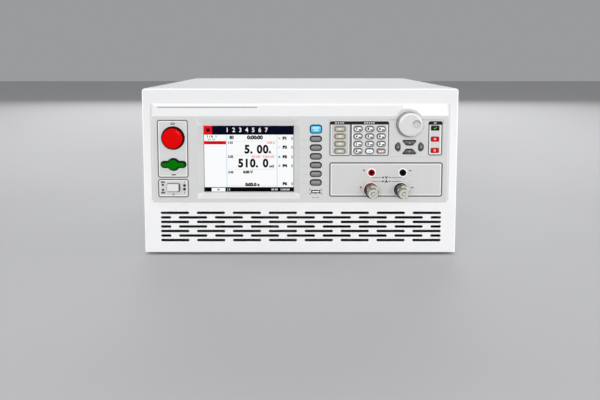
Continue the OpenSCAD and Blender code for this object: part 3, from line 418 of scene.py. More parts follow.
def rr(w, h, r, n=8, c=(0, 0)):
    r = max(0.05, min(r, min(w, h) / 2 - 0.02))
    pts = (arc(w / 2 - r, h / 2 - r, r, 0, 90, n) + arc(-w / 2 + r, h / 2 - r, r, 90, 180, n)
           + arc(-w / 2 + r, -h / 2 + r, r, 180, 270, n) + arc(w / 2 - r, -h / 2 + r, r, 270, 360, n))
    return [(x + c[0], y + c[1]) for x, y in pts]


def rect(x0, x1, z0, z1):
    return [(x0, z0), (x1, z0), (x1, z1), (x0, z1)]


def frame_rr(x0, x1, z0, z1, r, g=0.0, n=8):
    return rr(x1 - x0 + 2 * g, z1 - z0 + 2 * g, r + g, n, ((x0 + x1) / 2, (z0 + z1) / 2))


def moved(pts, c):
    return [(x + c[0], y + c[1]) for x, y in pts]


def circle(r, n=64, c=(0, 0)):
    return [(c[0] + r * math.cos(2 * math.pi * i / n), c[1] + r * math.sin(2 * math.pi * i / n)) for i in range(n)]


def arrow_2d(w, h, g=0.0):
    a, b = w / 2 + g, h / 2 + g
    return (arc(a - 2.2, b - 2.2, 2.2, 8, 90, 8) + arc(-a + 2.2, b - 2.2, 2.2, 90, 172, 8)
            + arc(-a * 0.52 + 1.6, -b + 2.0, 2.0, 215, 270, 6) + arc(a * 0.52 - 1.6, -b + 2.0, 2.0, 270, 325, 6))


def lens_2d(w, h, g=0.0):
    a, b = w / 2 + g, h / 2 + g
    return (arc(a - 1.5, b * 0.45, 1.5, 0, 50, 6) + arc(0.6, b - 1.6, 1.6, 50, 130, 6)
            + arc(-a + 1.7, b * 0.33, 1.7, 130, 180, 6) + arc(-a + 1.7, -b * 0.33, 1.7, 180, 230, 6)
            + arc(0.6, -b + 1.6, 1.6, 230, 310, 6) + arc(a - 1.5, -b * 0.45, 1.5, 310, 360, 6))


def lobed_2d(g=0.0):
    r, h, l, f = 7.25 + g, 3.4 + g, 16 + g, 3 - g
    fx = math.sqrt((r + f) ** 2 - (h + f) ** 2)
    ca = math.degrees(math.atan2(h + f, fx))
    q = h - 0.02
    pts = (arc(l - q, 0, q, -90, 90, 16) + arc(fx, h + f, f, 270, 180 + ca, 7) + arc(0, 0, r, ca, 180 - ca, 28)
           + arc(-fx, h + f, f, -ca, -90, 7) + arc(-l + q, 0, q, 90, 270, 16) + arc(-fx, -h - f, f, 90, ca, 7)
           + arc(0, 0, r, 180 + ca, 360 - ca, 28) + arc(fx, -h - f, f, 180 - ca, 90, 7))
    out = []
    for p in pts:
        if not out or math.dist(p, out[-1]) > 1e-4:
            out.append(p)
    if math.dist(out[0], out[-1]) < 1e-4:
        out.pop()
    return out


def mirror_x(pts):
    return [(-x, y) for x, y in reversed(pts)]


def mirror_z(pts):
    return [(x, -y) for x, y in reversed(pts)]


# ------------------------------------------------------------------ mesh building
def at(x, z, p):
    return (x * MM, (YF - p) * MM, z * MM)


class Build:
    """Collects closed solids made from outlines in X and Z, and makes one mesh piece of them."""

    def __init__(self):
        self.v, self.f, self.m = [], [], []

    def loft(self, rings, mat=0, mats=None):
        """rings: (outline, p) from back to front, all with the same number of points, anticlockwise seen from the front.
        mats: a material for each step between rings."""
        n, base = len(rings[0][0]), len(self.v)
        mats = mats or [mat] * (len(rings) - 1)
        for pts, p in rings:
            if callable(p):
                self.v += [at(x, z, p(x, z)) for x, z in pts]
            else:
                self.v += [at(x, z, p) for x, z in pts]
        for k in range(len(rings) - 1):
            a, b = base + k * n, base + (k + 1) * n
            for i in range(n):
                j = (i + 1) % n
                self.f.append((a + i, a + j, b + j, b + i))
                self.m.append(mats[k])
        self.f.append(tuple(range(base + n - 1, base - 1, -1)))
        self.m.append(mats[0])
        last = base + (len(rings) - 1) * n
        self.f.append(tuple(range(last, last + n)))
        self.m.append(mats[-1])
        return self

    def plate(self, pts, p0, p1, mat=0):
        return self.loft([(pts, p0), (pts, p1)], mat)

    def ring(self, outer, inner, p0, p1, mat=0):
        n, base = len(outer), len(self.v)
        for pts, p in ((outer, p0), (outer, p1), (inner, p1), (inner, p0)):
            self.v += [at(x, z, p) for x, z in pts]
        for i in range(n):
            j = (i + 1) % n
            for a, b in ((0, 1), (1, 2), (2, 3), (3, 0)):
                self.f.append((base + a * n + i, base + a * n + j, base + b * n + j, base + b * n + i))
                self.m.append(mat)
        return self

    def line(self, pts, w, p0, p1, mat=0):
        """A mitred open line of width w through pts."""
        left, right = [], []
        for i, (x, z) in enumerate(pts):
            a = Vector(pts[max(i - 1, 0)])
            b = Vector(pts[min(i + 1, len(pts) - 1)])
            if 0 < i < len(pts) - 1:
                d0 = (Vector(pts[i]) - a).normalized()
                d1 = (b - Vector(pts[i])).normalized()
                d = (d0 + d1).normalized()
                k = 1 / max(0.3, d.dot(d1))
            else:
                d = (b - a).normalized()
                k = 1
            nrm = Vector((-d.y, d.x)) * (w / 2 * k)
            left.append((x + nrm.x, z + nrm.y))
            right.append((x - nrm.x, z - nrm.y))
        return self.plate(right + left[::-1], p0, p1, mat)

    def text(self, s, x, z, size, p, t=0.04, mat=0, bold=0.0, align="CENTER", width=1.0, slope=None):
        cu = bpy.data.curves.new("txt", "FONT")
        cu.body = s
        cu.size = size
        cu.align_x, cu.align_y = align, "CENTER"
        cu.extrude = t / 2
        cu.offset = bold
        cu.resolution_u = 3
        ob = bpy.data.objects.new("txt", cu)
        bpy.context.scene.collection.objects.link(ob)
        dg = bpy.context.evaluated_depsgraph_get()
        me = bpy.data.meshes.new_from_object(ob.evaluated_get(dg))
        bm = bmesh.new()
        bm.from_mesh(me)
        bmesh.ops.remove_doubles(bm, verts=bm.verts, dist=1e-5)
        bmesh.ops.dissolve_degenerate(bm, edges=bm.edges, dist=1e-6)
        base = len(self.v)
        for v in bm.verts:
            pos = (x + v.co.x * width, z + v.co.y)
            self.v.append(slope(pos[0], pos[1], v.co.z + t / 2) if slope else at(pos[0], pos[1], p + v.co.z + t / 2))
        bm.verts.index_update()
        for f in bm.faces:
            self.f.append(tuple(base + v.index for v in f.verts))
            self.m.append(mat)
        bm.free()
        bpy.data.objects.remove(ob)
        bpy.data.meshes.remove(me)
        bpy.data.curves.remove(cu)
        return self

    def make(self, name, mats, body="root", slot=None, smooth=40.0, replaces=()):
        me = bpy.data.meshes.new(name)
        me.from_pydata(self.v, [], self.f)
        me.update()
        me.polygons.foreach_set("material_index", self.m)
        for m in (mats if isinstance(mats, (list, tuple)) else [mats]):
            me.materials.append(m)
        bm = bmesh.new()
        bm.from_mesh(me)
        bmesh.ops.recalc_face_normals(bm, faces=bm.faces)
        bm.to_mesh(me)
        bm.free()
        if smooth:
            me.polygons.foreach_set("use_smooth", [True] * len(me.polygons))
            me.set_sharp_from_angle(angle=math.radians(smooth))
        ob = bpy.data.objects.new(name, me)
        bpy.context.scene.collection.objects.link(ob)
        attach(ob, body)
        if replaces:
            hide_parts(*replaces)
        return ob


# ------------------------------------------------------------------ CAD nodes: finishes and softened edges
SLOT = {s["node"]: s["material_slot"] for s in frame["record"]["subparts"]}
BEVEL = {
    "front_plate": 0.14, "top_cover": 0.3, "rear_panel": 0.15, "front_bezel": 0.5, "front_overlay": 0.08,
    "jog_knob": 0.35, "stop_button": 0.3, "power_button": 0.7, "post_nut_red": 0.3, "post_nut_black": 0.3,
    "post_base_red": 0.3, "post_base_black": 0.3, "button_collars": 0.25, "usb_port": 0.12, "mains_inlet": 0.4,
    "case_screws": 0.2, "sense_jack_red": 0.3, "sense_jack_black": 0.3, "post_studs": 0.2, "indicator_leds": 0.3,
    "rubber_feet": 0.4,
}
for name, ob in NODES.items():
    ob.data.materials.clear()
    ob.data.materials.append(MAT["usb_steel"] if name == "usb_port" else MAT[SLOT[name]])
    ob.data.polygons.foreach_set("use_smooth", [True] * len(ob.data.polygons))
    w = ob.modifiers.new("weld", "WELD")
    w.merge_threshold = 0.00001
    if name in BEVEL:
        b = ob.modifiers.new("edges", "BEVEL")
        b.width = BEVEL[name] * MM
        b.segments = 3
        b.limit_method = "ANGLE"
        b.angle_limit = math.radians(35)
        b.use_clamp_overlap = True
        b.loop_slide = False
        b.face_strength_mode = "FSTR_ALL"
        wn = ob.modifiers.new("normals", "WEIGHTED_NORMAL")
        wn.keep_sharp = False
        wn.use_face_influence = True
    else:
        e = ob.modifiers.new("crisp", "EDGE_SPLIT")
        e.split_angle = math.radians(32)


# ------------------------------------------------------------------ keys
def key_cap(name, outline, slot, side, top=14.0, crown=0.35, rim=0.95, ridge=0.0):
    """A moulded cap: straight skirt and rounded shoulder in a darker colour that is painted shade, and a crowned top.
    outline(g) grows the shape by g; ridge makes the top fall away above and below a line along its middle."""
    b = Build()
    pts0 = outline(0)
    cx = (min(x for x, _ in pts0) + max(x for x, _ in pts0)) / 2
    cz = (min(z for _, z in pts0) + max(z for _, z in pts0)) / 2
    hx = (max(x for x, _ in pts0) - min(x for x, _ in pts0)) / 2
    hz = (max(z for _, z in pts0) - min(z for _, z in pts0)) / 2

    def dome(x, z):
        u, v = (x - cx) / hx, (z - cz) / hz
        return top - crown * min(1.0, u * u + v * v) - ridge * abs(v) ** 1.25

    edge = outline(-rim)

    def shrink(k):
        return [(cx + (x - cx) * k, cz + (z - cz) * k) for x, z in edge]

    low = top - crown - ridge - rim
    rings = [(pts0, 7.0), (pts0, low)]
    for a in (20, 40, 60, 80):
        i = rim * (1 - math.cos(math.radians(a)))
        k = math.sin(math.radians(a))
        rings.append((outline(-i), lambda x, z, k=k: low + (dome(x, z) - low) * k))
    rings.append((edge, dome))
    mats = [1] * (len(rings) - 1)
    for k in (0.94, 0.8, 0.65, 0.5, 0.35, 0.2, 0.08):
        rings.append((shrink(k), dome))
        mats.append(0)
    b.loft(rings, mats=mats)
    return b.make(name + "_cap", [MAT[slot], MAT[side]], name, slot, 50, (name,))


def rr_key(k):
    return lambda g: rr(k[2] + 2 * g, k[3] + 2 * g, k[4] + g, 8, (k[0], k[1]))


NUMS = {"7": (0, 0), "8": (1, 0), "9": (2, 0), "4": (0, 1), "5": (1, 1), "6": (2, 1),
        "1": (0, 2), "2": (1, 2), "3": (2, 2), "0": (0, 3), "dot": (1, 3)}
for i in range(6):
    key_cap(f"key_soft_{i + 1}", rr_key((SOFT_X, SOFT_Z[i], *SOFT_SIZE)), "key_grey", "side_dark", rim=0.85, crown=0.15, ridge=0.75)
key_cap("key_blue", rr_key(BLUE), "key_blue", "side_navy", rim=0.9, crown=0.2, ridge=0.5)
for i in range(4):
    key_cap(f"key_func_{i + 1}", rr_key((FUNC_X, ROW_Z[i], *FUNC_SIZE)), "key_beige", "side_khaki", rim=0.9, crown=0.2, ridge=0.3)
for n, (c, r) in NUMS.items():
    key_cap(f"key_num_{n}", rr_key((NUM_X[c], ROW_Z[r], *NUM_SIZE)), "key_white", "side_grey", rim=1.0, crown=0.3, ridge=0.2)
key_cap("key_enter", rr_key(ENTER), "key_rose", "side_rose", rim=0.9, crown=0.2, ridge=0.2)
key_cap("key_up", lambda g: moved(arrow_2d(17.8, 6.6, g), UP), "key_dark", "side_dark", rim=0.8, crown=0.2, ridge=0.4)
key_cap("key_down", lambda g: moved(mirror_z(arrow_2d(17.8, 6.6, g)), DOWN), "key_dark", "side_dark", rim=0.8, crown=0.2, ridge=0.4)
key_cap("key_left", lambda g: moved(lens_2d(6.4, 11.5, g), LEFT), "key_dark", "side_dark", rim=0.8, crown=0.3, ridge=0.3)
key_cap("key_right", lambda g: moved(mirror_x(lens_2d(6.4, 11.5, g)), RIGHT), "key_dark", "side_dark", rim=0.8, crown=0.3, ridge=0.3)
key_cap("start_button", lambda g: moved(lobed_2d(g), START), "button_green", "side_green", top=15.4, rim=0.75, crown=0.4)

# legends printed on the key tops, each riding on its key
for n, (c, r) in NUMS.items():
    x, z = NUM_X[c], ROW_Z[r]
    b = Build()
    if n == "dot":
        b.plate(circle(0.6, 24, (x, z - 0.6)), 13.9, 14.05)
    else:
        b.text("6" if n == "9" else n, x - 2.1, z + 0.2, 4.0, 13.72, 0.32, bold=0.30)
        if n == "9":
            # a nine is the six turned half round
            pivot = at(x - 2.1, z + 0.2, 0.0)
            b.v = [(2 * pivot[0] - v[0], v[1], 2 * pivot[2] - v[2]) for v in b.v]
        b.plate(rr(3.4, 1.6, 0.3, 3, (x + 2.2, z - 1.0)), 13.6, 13.99)
    b.make(f"legend_{n}", INK["key_text"], f"key_num_{n}", smooth=0)
for i in range(4):
    b = Build().text(f"F{i + 1}", FUNC_X, ROW_Z[i], 3.6, 13.75, 0.3, bold=0.09, width=1.15)
    b.make(f"legend_f{i + 1}", INK["white"], f"key_func_{i + 1}", smooth=0)
b = Build()
b.line([(ENTER[0] + 2.4, ENTER[1] + 1.3), (ENTER[0] + 2.4, ENTER[1] - 0.4), (ENTER[0] - 1.8, ENTER[1] - 0.4)], 0.6, 13.75, 14.03)
b.plate([(ENTER[0] - 3.2, ENTER[1] - 0.4), (ENTER[0] - 1.6, ENTER[1] - 1.5), (ENTER[0] - 1.6, ENTER[1] + 0.7)], 13.75, 14.03)
b.make("legend_enter", INK["white"], "key_enter", smooth=0)
x, z = BLUE[0], BLUE[1]
b = Build()
b.plate(rr(8.4, 0.95, 0.4, 4, (x, z + 1.75)), 13.5, 14.03)
b.plate(rr(5.8, 0.95, 0.4, 4, (x, z - 1.15)), 13.5, 14.03)
b.make("legend_blue", INK["white"], "key_blue", smooth=0)
for nm, c, a in (("up", UP, 90), ("down", DOWN, 270), ("left", LEFT, 180), ("right", RIGHT, 0)):
    pts = [(1.5 * math.cos(math.radians(a + t)), 1.5 * math.sin(math.radians(a + t))) for t in (0, 130, 230)]
    Build().plate(moved(pts, c), 13.75, 14.03).make(f"legend_{nm}", INK["mid"], f"key_{nm}", smooth=0)


# ------------------------------------------------------------------ print on the film
P0, P1 = FILM + 0.004, FILM + 0.045
g_grey, g_white, g_black, g_rim, g_pale, g_panel, g_red, g_panel2, g_khaki, g_rule_and_shadow, g_blue = (Build() for _ in range(11))


def sheet_with_holes(b, outer, holes, p0, p1):
    """A thin flat print with openings, as one closed solid."""
    loops = [[Vector((x, z, 0)) for x, z in outer]] + [[Vector((x, z, 0)) for x, z in h] for h in holes]
    tris = tessellate_polygon(loops)
    pts = [q for loop in loops for q in loop]
    base, n = len(b.v), len(pts)
    for p in (p0, p1):
        b.v += [at(q.x, q.y, p) for q in pts]
    for t in tris:
        b.f += [tuple(base + i for i in reversed(t)), tuple(base + n + i for i in t)]
        b.m += [0, 0]
    k = base
    for loop in loops:
        for i in range(len(loop)):
            j = (i + 1) % len(loop)
            b.f.append((k + i, k + j, k + n + j, k + n + i))
            b.m.append(0)
        k += len(loop)


def double_frame(x0, x1, z0, z1, r, w=1.7):
    g_grey.ring(frame_rr(x0, x1, z0, z1, r), frame_rr(x0, x1, z0, z1, r, -w), P0, P1)
    g_white.ring(frame_rr(x0, x1, z0, z1, r, -w - 0.02), frame_rr(x0, x1, z0, z1, r, -w - 0.95), P0, P1)


double_frame(-192.3, -150.7, 110.7, 189.4, 3.2)
double_frame(-192.3, -150.8, 83.7, 109.1, 3.2)
double_frame(39.3, 192.5, 84.5, 131.9, 3.2, 2.0)
sheet_with_holes(g_panel2, frame_rr(42.4, 189.4, 87.6, 128.6, 1.2),
                 [circle(4.57, 48, (x, JACK_Z)) for x in JACK_X] + [circle(6.3, 48, (x, POST_Z)) for x in POST_X], P0 - 0.003, P1 - 0.02)
double_frame(39.5, 67.8, 140.6, 187.3, 2.6, 1.6)
double_frame(67.9, 119.4, 140.6, 187.3, 2.6, 1.7)
double_frame(172.1, 191.2, 141.1, 187.5, 2.6, 1.7)
g_pale.ring(frame_rr(38.6, 192.4, 139.2, 189.6, 2.5), frame_rr(38.6, 192.4, 139.2, 189.6, 2.5, -0.45), P0 - 0.002, P1 - 0.01)
# its darker stretch at the upper right
g_rule_and_shadow.line([(119.0, 189.4), (189.9, 189.4)] + arc(189.9, 187.1, 2.3, 72, 18, 4) + [(192.2, 185.6)], 0.5, P0, P1)


def header(x0, x1, z0, z1, r=2.6):
    pts = [(x0, z0), (x1, z0)] + arc(x1 - r, z1 - r, r, 0, 90, 8) + arc(x0 + r, z1 - r, r, 90, 180, 8)
    g_black.plate(pts, P0 + 0.01, P1 + 0.02)


header(39.7, 119.2, 183.1, 187.4)
header(172.2, 191.1, 182.7, 187.6)
g_panel.plate(frame_rr(42.0, 65.6, 143.4, 182.9, 0.8), FILM + 0.002, FILM + 0.02)
# marks in the header bands
for x0, x1, n in ((47, 60, 4), (86, 101, 5)):
    for i in range(n):
        w = (x1 - x0) / n
        g_white.plate(rect(x0 + i * w, x0 + i * w + w * 0.62, 184.7, 185.8), P1 + 0.02, P1 + 0.05)
g_white.plate(rect(179.6, 182.8, 184.6, 185.7), P1 + 0.02, P1 + 0.05)
# dark outlines round the soft keys, softer ones round the others: printed rings that are partly print and partly
# painted shade of the gaps round the keys
for z in SOFT_Z:
    k = rr_key((SOFT_X, z, *SOFT_SIZE))
    g_rim.ring(k(0.95), k(0.36), P0, P1)
g_blue.ring(rr_key(BLUE)(1.0), rr_key(BLUE)(0.36), P0, P1)
g_rim.ring(rr_key(POWER)(0.85), rr_key(POWER)(0.36), P0, P1)
for z in ROW_Z:
    k = rr_key((FUNC_X, z, *FUNC_SIZE))
    g_khaki.ring(k(0.95), k(0.36), P0 + 0.012, P1 + 0.01)
for n, (c, r) in list(NUMS.items()) + [("e", (2, 3))]:
    k = rr_key(ENTER if n == "e" else (NUM_X[c], ROW_Z[r], *NUM_SIZE))
    g_grey.ring(k(0.85), k(0.36), P0, P1)
# painted shadow: a grey ring round the jog knob, set a little down and to the left
g_rule_and_shadow.ring(circle(17.3, 96, (KNOB[0] - 0.3, KNOB[1] - 0.8)), circle(15.2, 96, (KNOB[0] - 0.3, KNOB[1] - 0.8)), P0, P1)
for shape, c in ((lambda g: arrow_2d(17.8, 6.6, g), UP), (lambda g: mirror_z(arrow_2d(17.8, 6.6, g)), DOWN),
                 (lambda g: lens_2d(6.4, 11.5, g), LEFT), (lambda g: mirror_x(lens_2d(6.4, 11.5, g)), RIGHT)):
    g_grey.ring(moved(shape(0.7), c), moved(shape(0.36), c), P0, P1)
# the shade that the knob leaves under itself
g_pale.line(arc(KNOB[0] + 0.2, KNOB[1] - 1.3, 17.9, 212, 328, 30), 1.9, P0 + 0.002, P1 - 0.005)
# dark edges round the collars of the stop and start buttons, and round the two lamps
g_black.ring(circle(16.05, 96, STOP), circle(15.6, 96, STOP), P0, P1)
for z in LED_Z:
    g_rim.ring(circle(1.85, 32, (LED_X, z)), circle(1.45, 32, (LED_X, z)), P0, P1)
g_black.ring(moved(lobed_2d(1.62), START), moved(lobed_2d(1.2), START), P0, P1)
# labels of the stop, start and power buttons: plain symbols
g_black.ring(rr(5.6, 2.9, 1.3, 8, (STOP[0], 184.2)), rr(3.8, 1.2, 0.5, 8, (STOP[0], 184.2)), P0, P1)
g_black.plate(rr(5.6, 1.5, 0.4, 4, (START[0], 114.7)), P0, P1)
g_black.ring(circle(1.35, 32, (POWER[0], 87.6)), circle(0.85, 32, (POWER[0], 87.6)), P0, P1)
g_black.plate(rect(POWER[0] - 0.25, POWER[0] + 0.25, 87.7, 89.5), P0 + 0.004, P1 + 0.01)
g_black.text("ON", -185.9, 104.6, 3.2, P0, bold=0.24)
g_black.text("OFF", -185.9, 90.0, 3.2, P0, bold=0.24)
g_black.plate(circle(1.5, 24, (-185.9, 101.0)), P0, P1)
g_black.plate(circle(1.5, 24, (-185.9, 94.0)), P0, P1)
g_black.text("1", LED_X, 104.5, 2.8, P0, bold=0.1)
g_black.text("2", LED_X, 90.5, 2.8, P0, bold=0.1)
# terminal brackets and their units
g_grey.line([(95.7, 112.8), (97.9, 110.8), (109.4, 110.8)], 0.8, P0, P1)
g_grey.line([(123.6, 110.8), (136.0, 110.8), (138.2, 112.8)], 0.8, P0, P1)
g_grey.line([(95.7, 103.5), (97.7, 105.5), (109.4, 105.5)], 0.8, P0, P1)
g_grey.line([(123.6, 105.5), (135.0, 105.5), (137.0, 103.5)], 0.8, P0, P1)
g_black.text("+ V \u2212", 116.5, 110.8, 4.4, P0, bold=0.32, width=1.15)
g_black.text("+ A \u2212", 116.5, 105.5, 4.4, P0, bold=0.32, width=1.15)
g_red.text("+", 86.2, 120.6, 5.2, P0, bold=0.34)
g_red.text("+", 82.0, 97.1, 5.2, P0, bold=0.34)
g_black.plate(rect(147.0, 150.4, 119.8, 121.0), P0, P1)
g_black.plate(rect(150.2, 153.6, 96.5, 97.7), P0, P1)
# pale rings round the terminals
for x in JACK_X:
    g_white.ring(circle(6.2, 64, (x, JACK_Z)), circle(4.6, 64, (x, JACK_Z)), P0 + 0.006, P1 + 0.012)
for x in POST_X:
    g_white.ring(circle(10.5, 64, (x, POST_Z)), circle(9.4, 64, (x, POST_Z)), P0 + 0.006, P1 + 0.012)
# leader lines between the screen's edge and the soft keys
for z in SOFT_Z:
    g_pale.plate(rect(-0.2, 9.6, z - 1.25, z - 0.75), P0, P1)
# socket mark under the USB port
g_grey.line([(USB[0] - 3.6, 83.6), (USB[0] + 3.0, 83.6)], 0.35, P0, P1)
g_grey.plate([(USB[0] + 3.0, 82.9), (USB[0] + 4.4, 83.6), (USB[0] + 3.0, 84.3)], P0, P1)
g_grey.plate(circle(0.7, 20, (USB[0] - 4.0, 83.6)), P0, P1)
# dark corner lugs round the USB socket
for sx in (-1, 1):
    for sz in (-1, 1):
        g_rim.line([(USB[0] + sx * 6.6, USB[1] + sz * 2.4), (USB[0] + sx * 8.3, USB[1] + sz * 3.1)], 1.9, P0 + 0.003, P1 + 0.01)

g_grey.make("print_grey", INK["grey"], smooth=0)
g_white.make("print_white", INK["white"], smooth=0)
g_black.make("print_black", INK["black"], smooth=0)
g_rim.make("print_rims", INK["rim"], smooth=0)
g_blue.make("print_blue_rim", INK["blue"], smooth=0)
g_pale.make("print_pale", INK["pale"], smooth=0)
g_panel.make("print_panel", INK["panel"], smooth=0)
g_panel2.make("print_terminal_panel", INK["panel2"], smooth=0)
g_red.make("print_red", INK["red"], smooth=0)
g_khaki.make("print_khaki", INK["khaki"], smooth=0)
g_rule_and_shadow.make("print_rule_and_shadow", INK["shade"], smooth=0)


# ------------------------------------------------------------------ display picture
def scr_x(px):
    """Screen position from a fraction of the picture's width and height, left to right and top to bottom."""
    return SCR[0] + px * (SCR[1] - SCR[0])


def scr_z(py):
    return SCR[3] - py * (SCR[3] - SCR[2])


S0 = 3.42


def area(b, u0, u1, v0, v1, lift, mat):
    b.plate(rect(scr_x(u0), scr_x(u1), scr_z(v1), scr_z(v0)), S0 + lift, S0 + lift + 0.03, mat)


GL = ["white", "navy", "black", "line", "hair", "red", "pink", "grey", "yellow", "blue"]
GI = {n: i for i, n in enumerate(GL)}
b = Build()
area(b, 0.0045, 0.994, 0.003, 0.997, 0.0, GI["white"])
area(b, 0.0045, 0.994, 0.0072, 0.140, 0.04, GI["navy"])
area(b, 0.0045, 0.994, 0.925, 0.9930, 0.04, GI["black"])
area(b, 0.082, 0.235, 0.935, 0.990, 0.08, GI["white"])
area(b, 0.145, 0.170, 0.950, 0.975, 0.12, GI["grey"])
b.text("1 2", scr_x(0.270), scr_z(0.962), 3.4, S0 + 0.08, 0.04, GI["hair"], bold=0.12)
b.text("00 00   12:00:00", scr_x(0.850), scr_z(0.962), 3.3, S0 + 0.08, 0.04, GI["hair"], bold=0.12, width=1.15)
# heading: plain numbers, and a red field at its left
for i in range(7):
    b.text(str(i + 1), scr_x(0.262 + i * 0.072), scr_z(0.073), 8.4, S0 + 0.07, 0.04, GI["white"], bold=0.12)
area(b, 0.004, 0.095, 0.010, 0.135, 0.08, GI["red"])
b.plate(circle(2.6, 32, (scr_x(0.0495), scr_z(0.072))), S0 + 0.12, S0 + 0.15, GI["navy"])
# column rules
area(b, 0.2485, 0.2580, 0.140, 0.925, 0.04, GI["line"])
area(b, 0.8080, 0.8175, 0.140, 0.925, 0.04, GI["line"])
for v in (0.235, 0.443, 0.652, 0.902):
    area(b, 0.258, 0.808, v, v + 0.006, 0.04, GI["hair"])
# step list at the left with its marked line
b.text("1 / 6", scr_x(0.068), scr_z(0.168), 4.2, S0 + 0.04, 0.04, GI["black"], bold=0.20, width=1.1)
b.text("1", scr_x(0.138), scr_z(0.168), 3.8, S0 + 0.04, 0.04, GI["black"], bold=0.2)
b.text("2.0  4.0", scr_x(0.085), scr_z(0.212), 3.3, S0 + 0.04, 0.04, GI["grey"], bold=0.10)
area(b, 0.003, 0.2485, 0.235, 0.284, 0.05, GI["red"])
b.text("1 1 0 0 1 0 1", scr_x(0.125), scr_z(0.260), 2.9, S0 + 0.09, 0.04, GI["navy"], bold=0.14, width=1.35)
# status line, readings and limits
b.text("01", scr_x(0.313), scr_z(0.184), 6.0, S0 + 0.04, 0.04, GI["black"], bold=0.50)
b.text("0:00:00", scr_x(0.568), scr_z(0.184), 6.8, S0 + 0.04, 0.04, GI["black"], bold=0.46, width=1.05)
for v, t in ((0.262, "1"), (0.470, "2"), (0.703, "3")):
    b.text(t, scr_x(0.277), scr_z(v), 4.3, S0 + 0.04, 0.04, GI["black"], bold=0.24)
    b.text("0" + t, scr_x(0.309), scr_z(v), 4.3, S0 + 0.04, 0.04, GI["black"], bold=0.24)
for x, t in ((-72.2, "5"), (-66.4, "."), (-55.2, "0"), (-47.0, "0")):
    b.text(t, x, 147.7, 15.6, S0 + 0.04, 0.04, GI["black"], bold=0.72, width=0.93)
for x, t in ((-81.0, "5"), (-72.9, "1"), (-64.7, "0"), (-59.0, "."), (-47.2, "0")):
    b.text(t, x, 128.6, 15.6, S0 + 0.04, 0.04, GI["black"], bold=0.72, width=0.93)
b.text("A", scr_x(0.733), scr_z(0.400), 4.6, S0 + 0.04, 0.04, GI["black"], bold=0.36)
b.text("m\u03a9", scr_x(0.752), scr_z(0.612), 4.2, S0 + 0.04, 0.04, GI["black"], bold=0.24)
b.text("0.00 V", scr_x(0.488), scr_z(0.700), 4.9, S0 + 0.04, 0.04, GI["black"], bold=0.36)
b.text("0:03.0 s", scr_x(0.536), scr_z(0.888), 5.6, S0 + 0.04, 0.04, GI["black"], bold=0.46, width=1.1)
b.text("5.00 A", scr_x(0.745), scr_z(0.262), 3.9, S0 + 0.04, 0.04, GI["pink"], bold=0.16)
b.text("0.0 mΩ \u2212 510.0 mΩ", scr_x(0.655), scr_z(0.470), 3.7, S0 + 0.04, 0.04, GI["pink"], bold=0.16)
# menu column at the right: small symbols, key numbers and arrows
for v, col in ((0.195, "yellow"), (0.328, "hair"), (0.472, "blue"), (0.605, "pink")):
    b.plate(rr(2.7, 2.7, 0.6, 4, (scr_x(0.838), scr_z(v))), S0 + 0.04, S0 + 0.07, GI[col])
for v, t in ((0.195, "F1"), (0.328, "F2"), (0.472, "F3"), (0.605, "F4"), (0.875, "F6")):
    b.text(t, scr_x(0.898), scr_z(v), 5.0, S0 + 0.04, 0.04, GI["black"], bold=0.42, width=1.2)
    cx, cz = scr_x(0.980), scr_z(v)
    b.line([(cx - 1.0, cz + 2.0), (cx + 0.6, cz), (cx - 1.0, cz - 2.0)], 0.95, S0 + 0.04, S0 + 0.07, GI["black"])
b.make("screen_picture", [GLOW[n] for n in GL], smooth=0)


# ------------------------------------------------------------------ status lamps
b = Build()
for z in LAMP_Z:
    b.loft([(rr(10.3, 5.8, 1.0, 6, (LAMP_X, z)), FILM + 0.1), (rr(10.3, 5.8, 1.0, 6, (LAMP_X, z)), FILM + 0.30),
            (rr(9.7, 5.2, 0.8, 6, (LAMP_X, z)), FILM + 0.42)], 1 if z == LAMP_Z[0] else 0)
b.make("lamp_windows", [MAT["lamp_window"], GLOW["lamp_dark"]], smooth=30)
b = Build()
for z in LAMP_Z:
    b.ring(rr(11.5, 7.0, 1.5, 6, (LAMP_X, z)), rr(10.5, 6.0, 1.0, 6, (LAMP_X, z)), P0, FILM + 0.12)
b.make("lamp_frames", surface("lamp_frame", (0.16, 0.006, 0.006), 0.4, specular=0.1), smooth=0)
b = Build()
x, z = LAMP_X, LAMP_Z[0]
b.line([(x - 1.9, z), (x - 0.5, z - 1.2), (x + 2.1, z + 1.3)], 0.55, FILM + 0.40, FILM + 0.46)
b.make("lamp_mark_pass", GLOW["green"], smooth=0)
b = Build()
x, z = LAMP_X, LAMP_Z[1]
b.line([(x - 1.25, z - 1.2), (x + 1.25, z + 1.2)], 0.55, FILM + 0.40, FILM + 0.45)
b.line([(x - 1.25, z + 1.2), (x + 1.25, z - 1.2)], 0.55, FILM + 0.40, FILM + 0.455)
z = LAMP_Z[2]
b.ring(circle(1.45, 32, (x, z)), circle(0.95, 32, (x, z)), FILM + 0.40, FILM + 0.45)
b.make("lamp_marks", GLOW["white"], smooth=0)

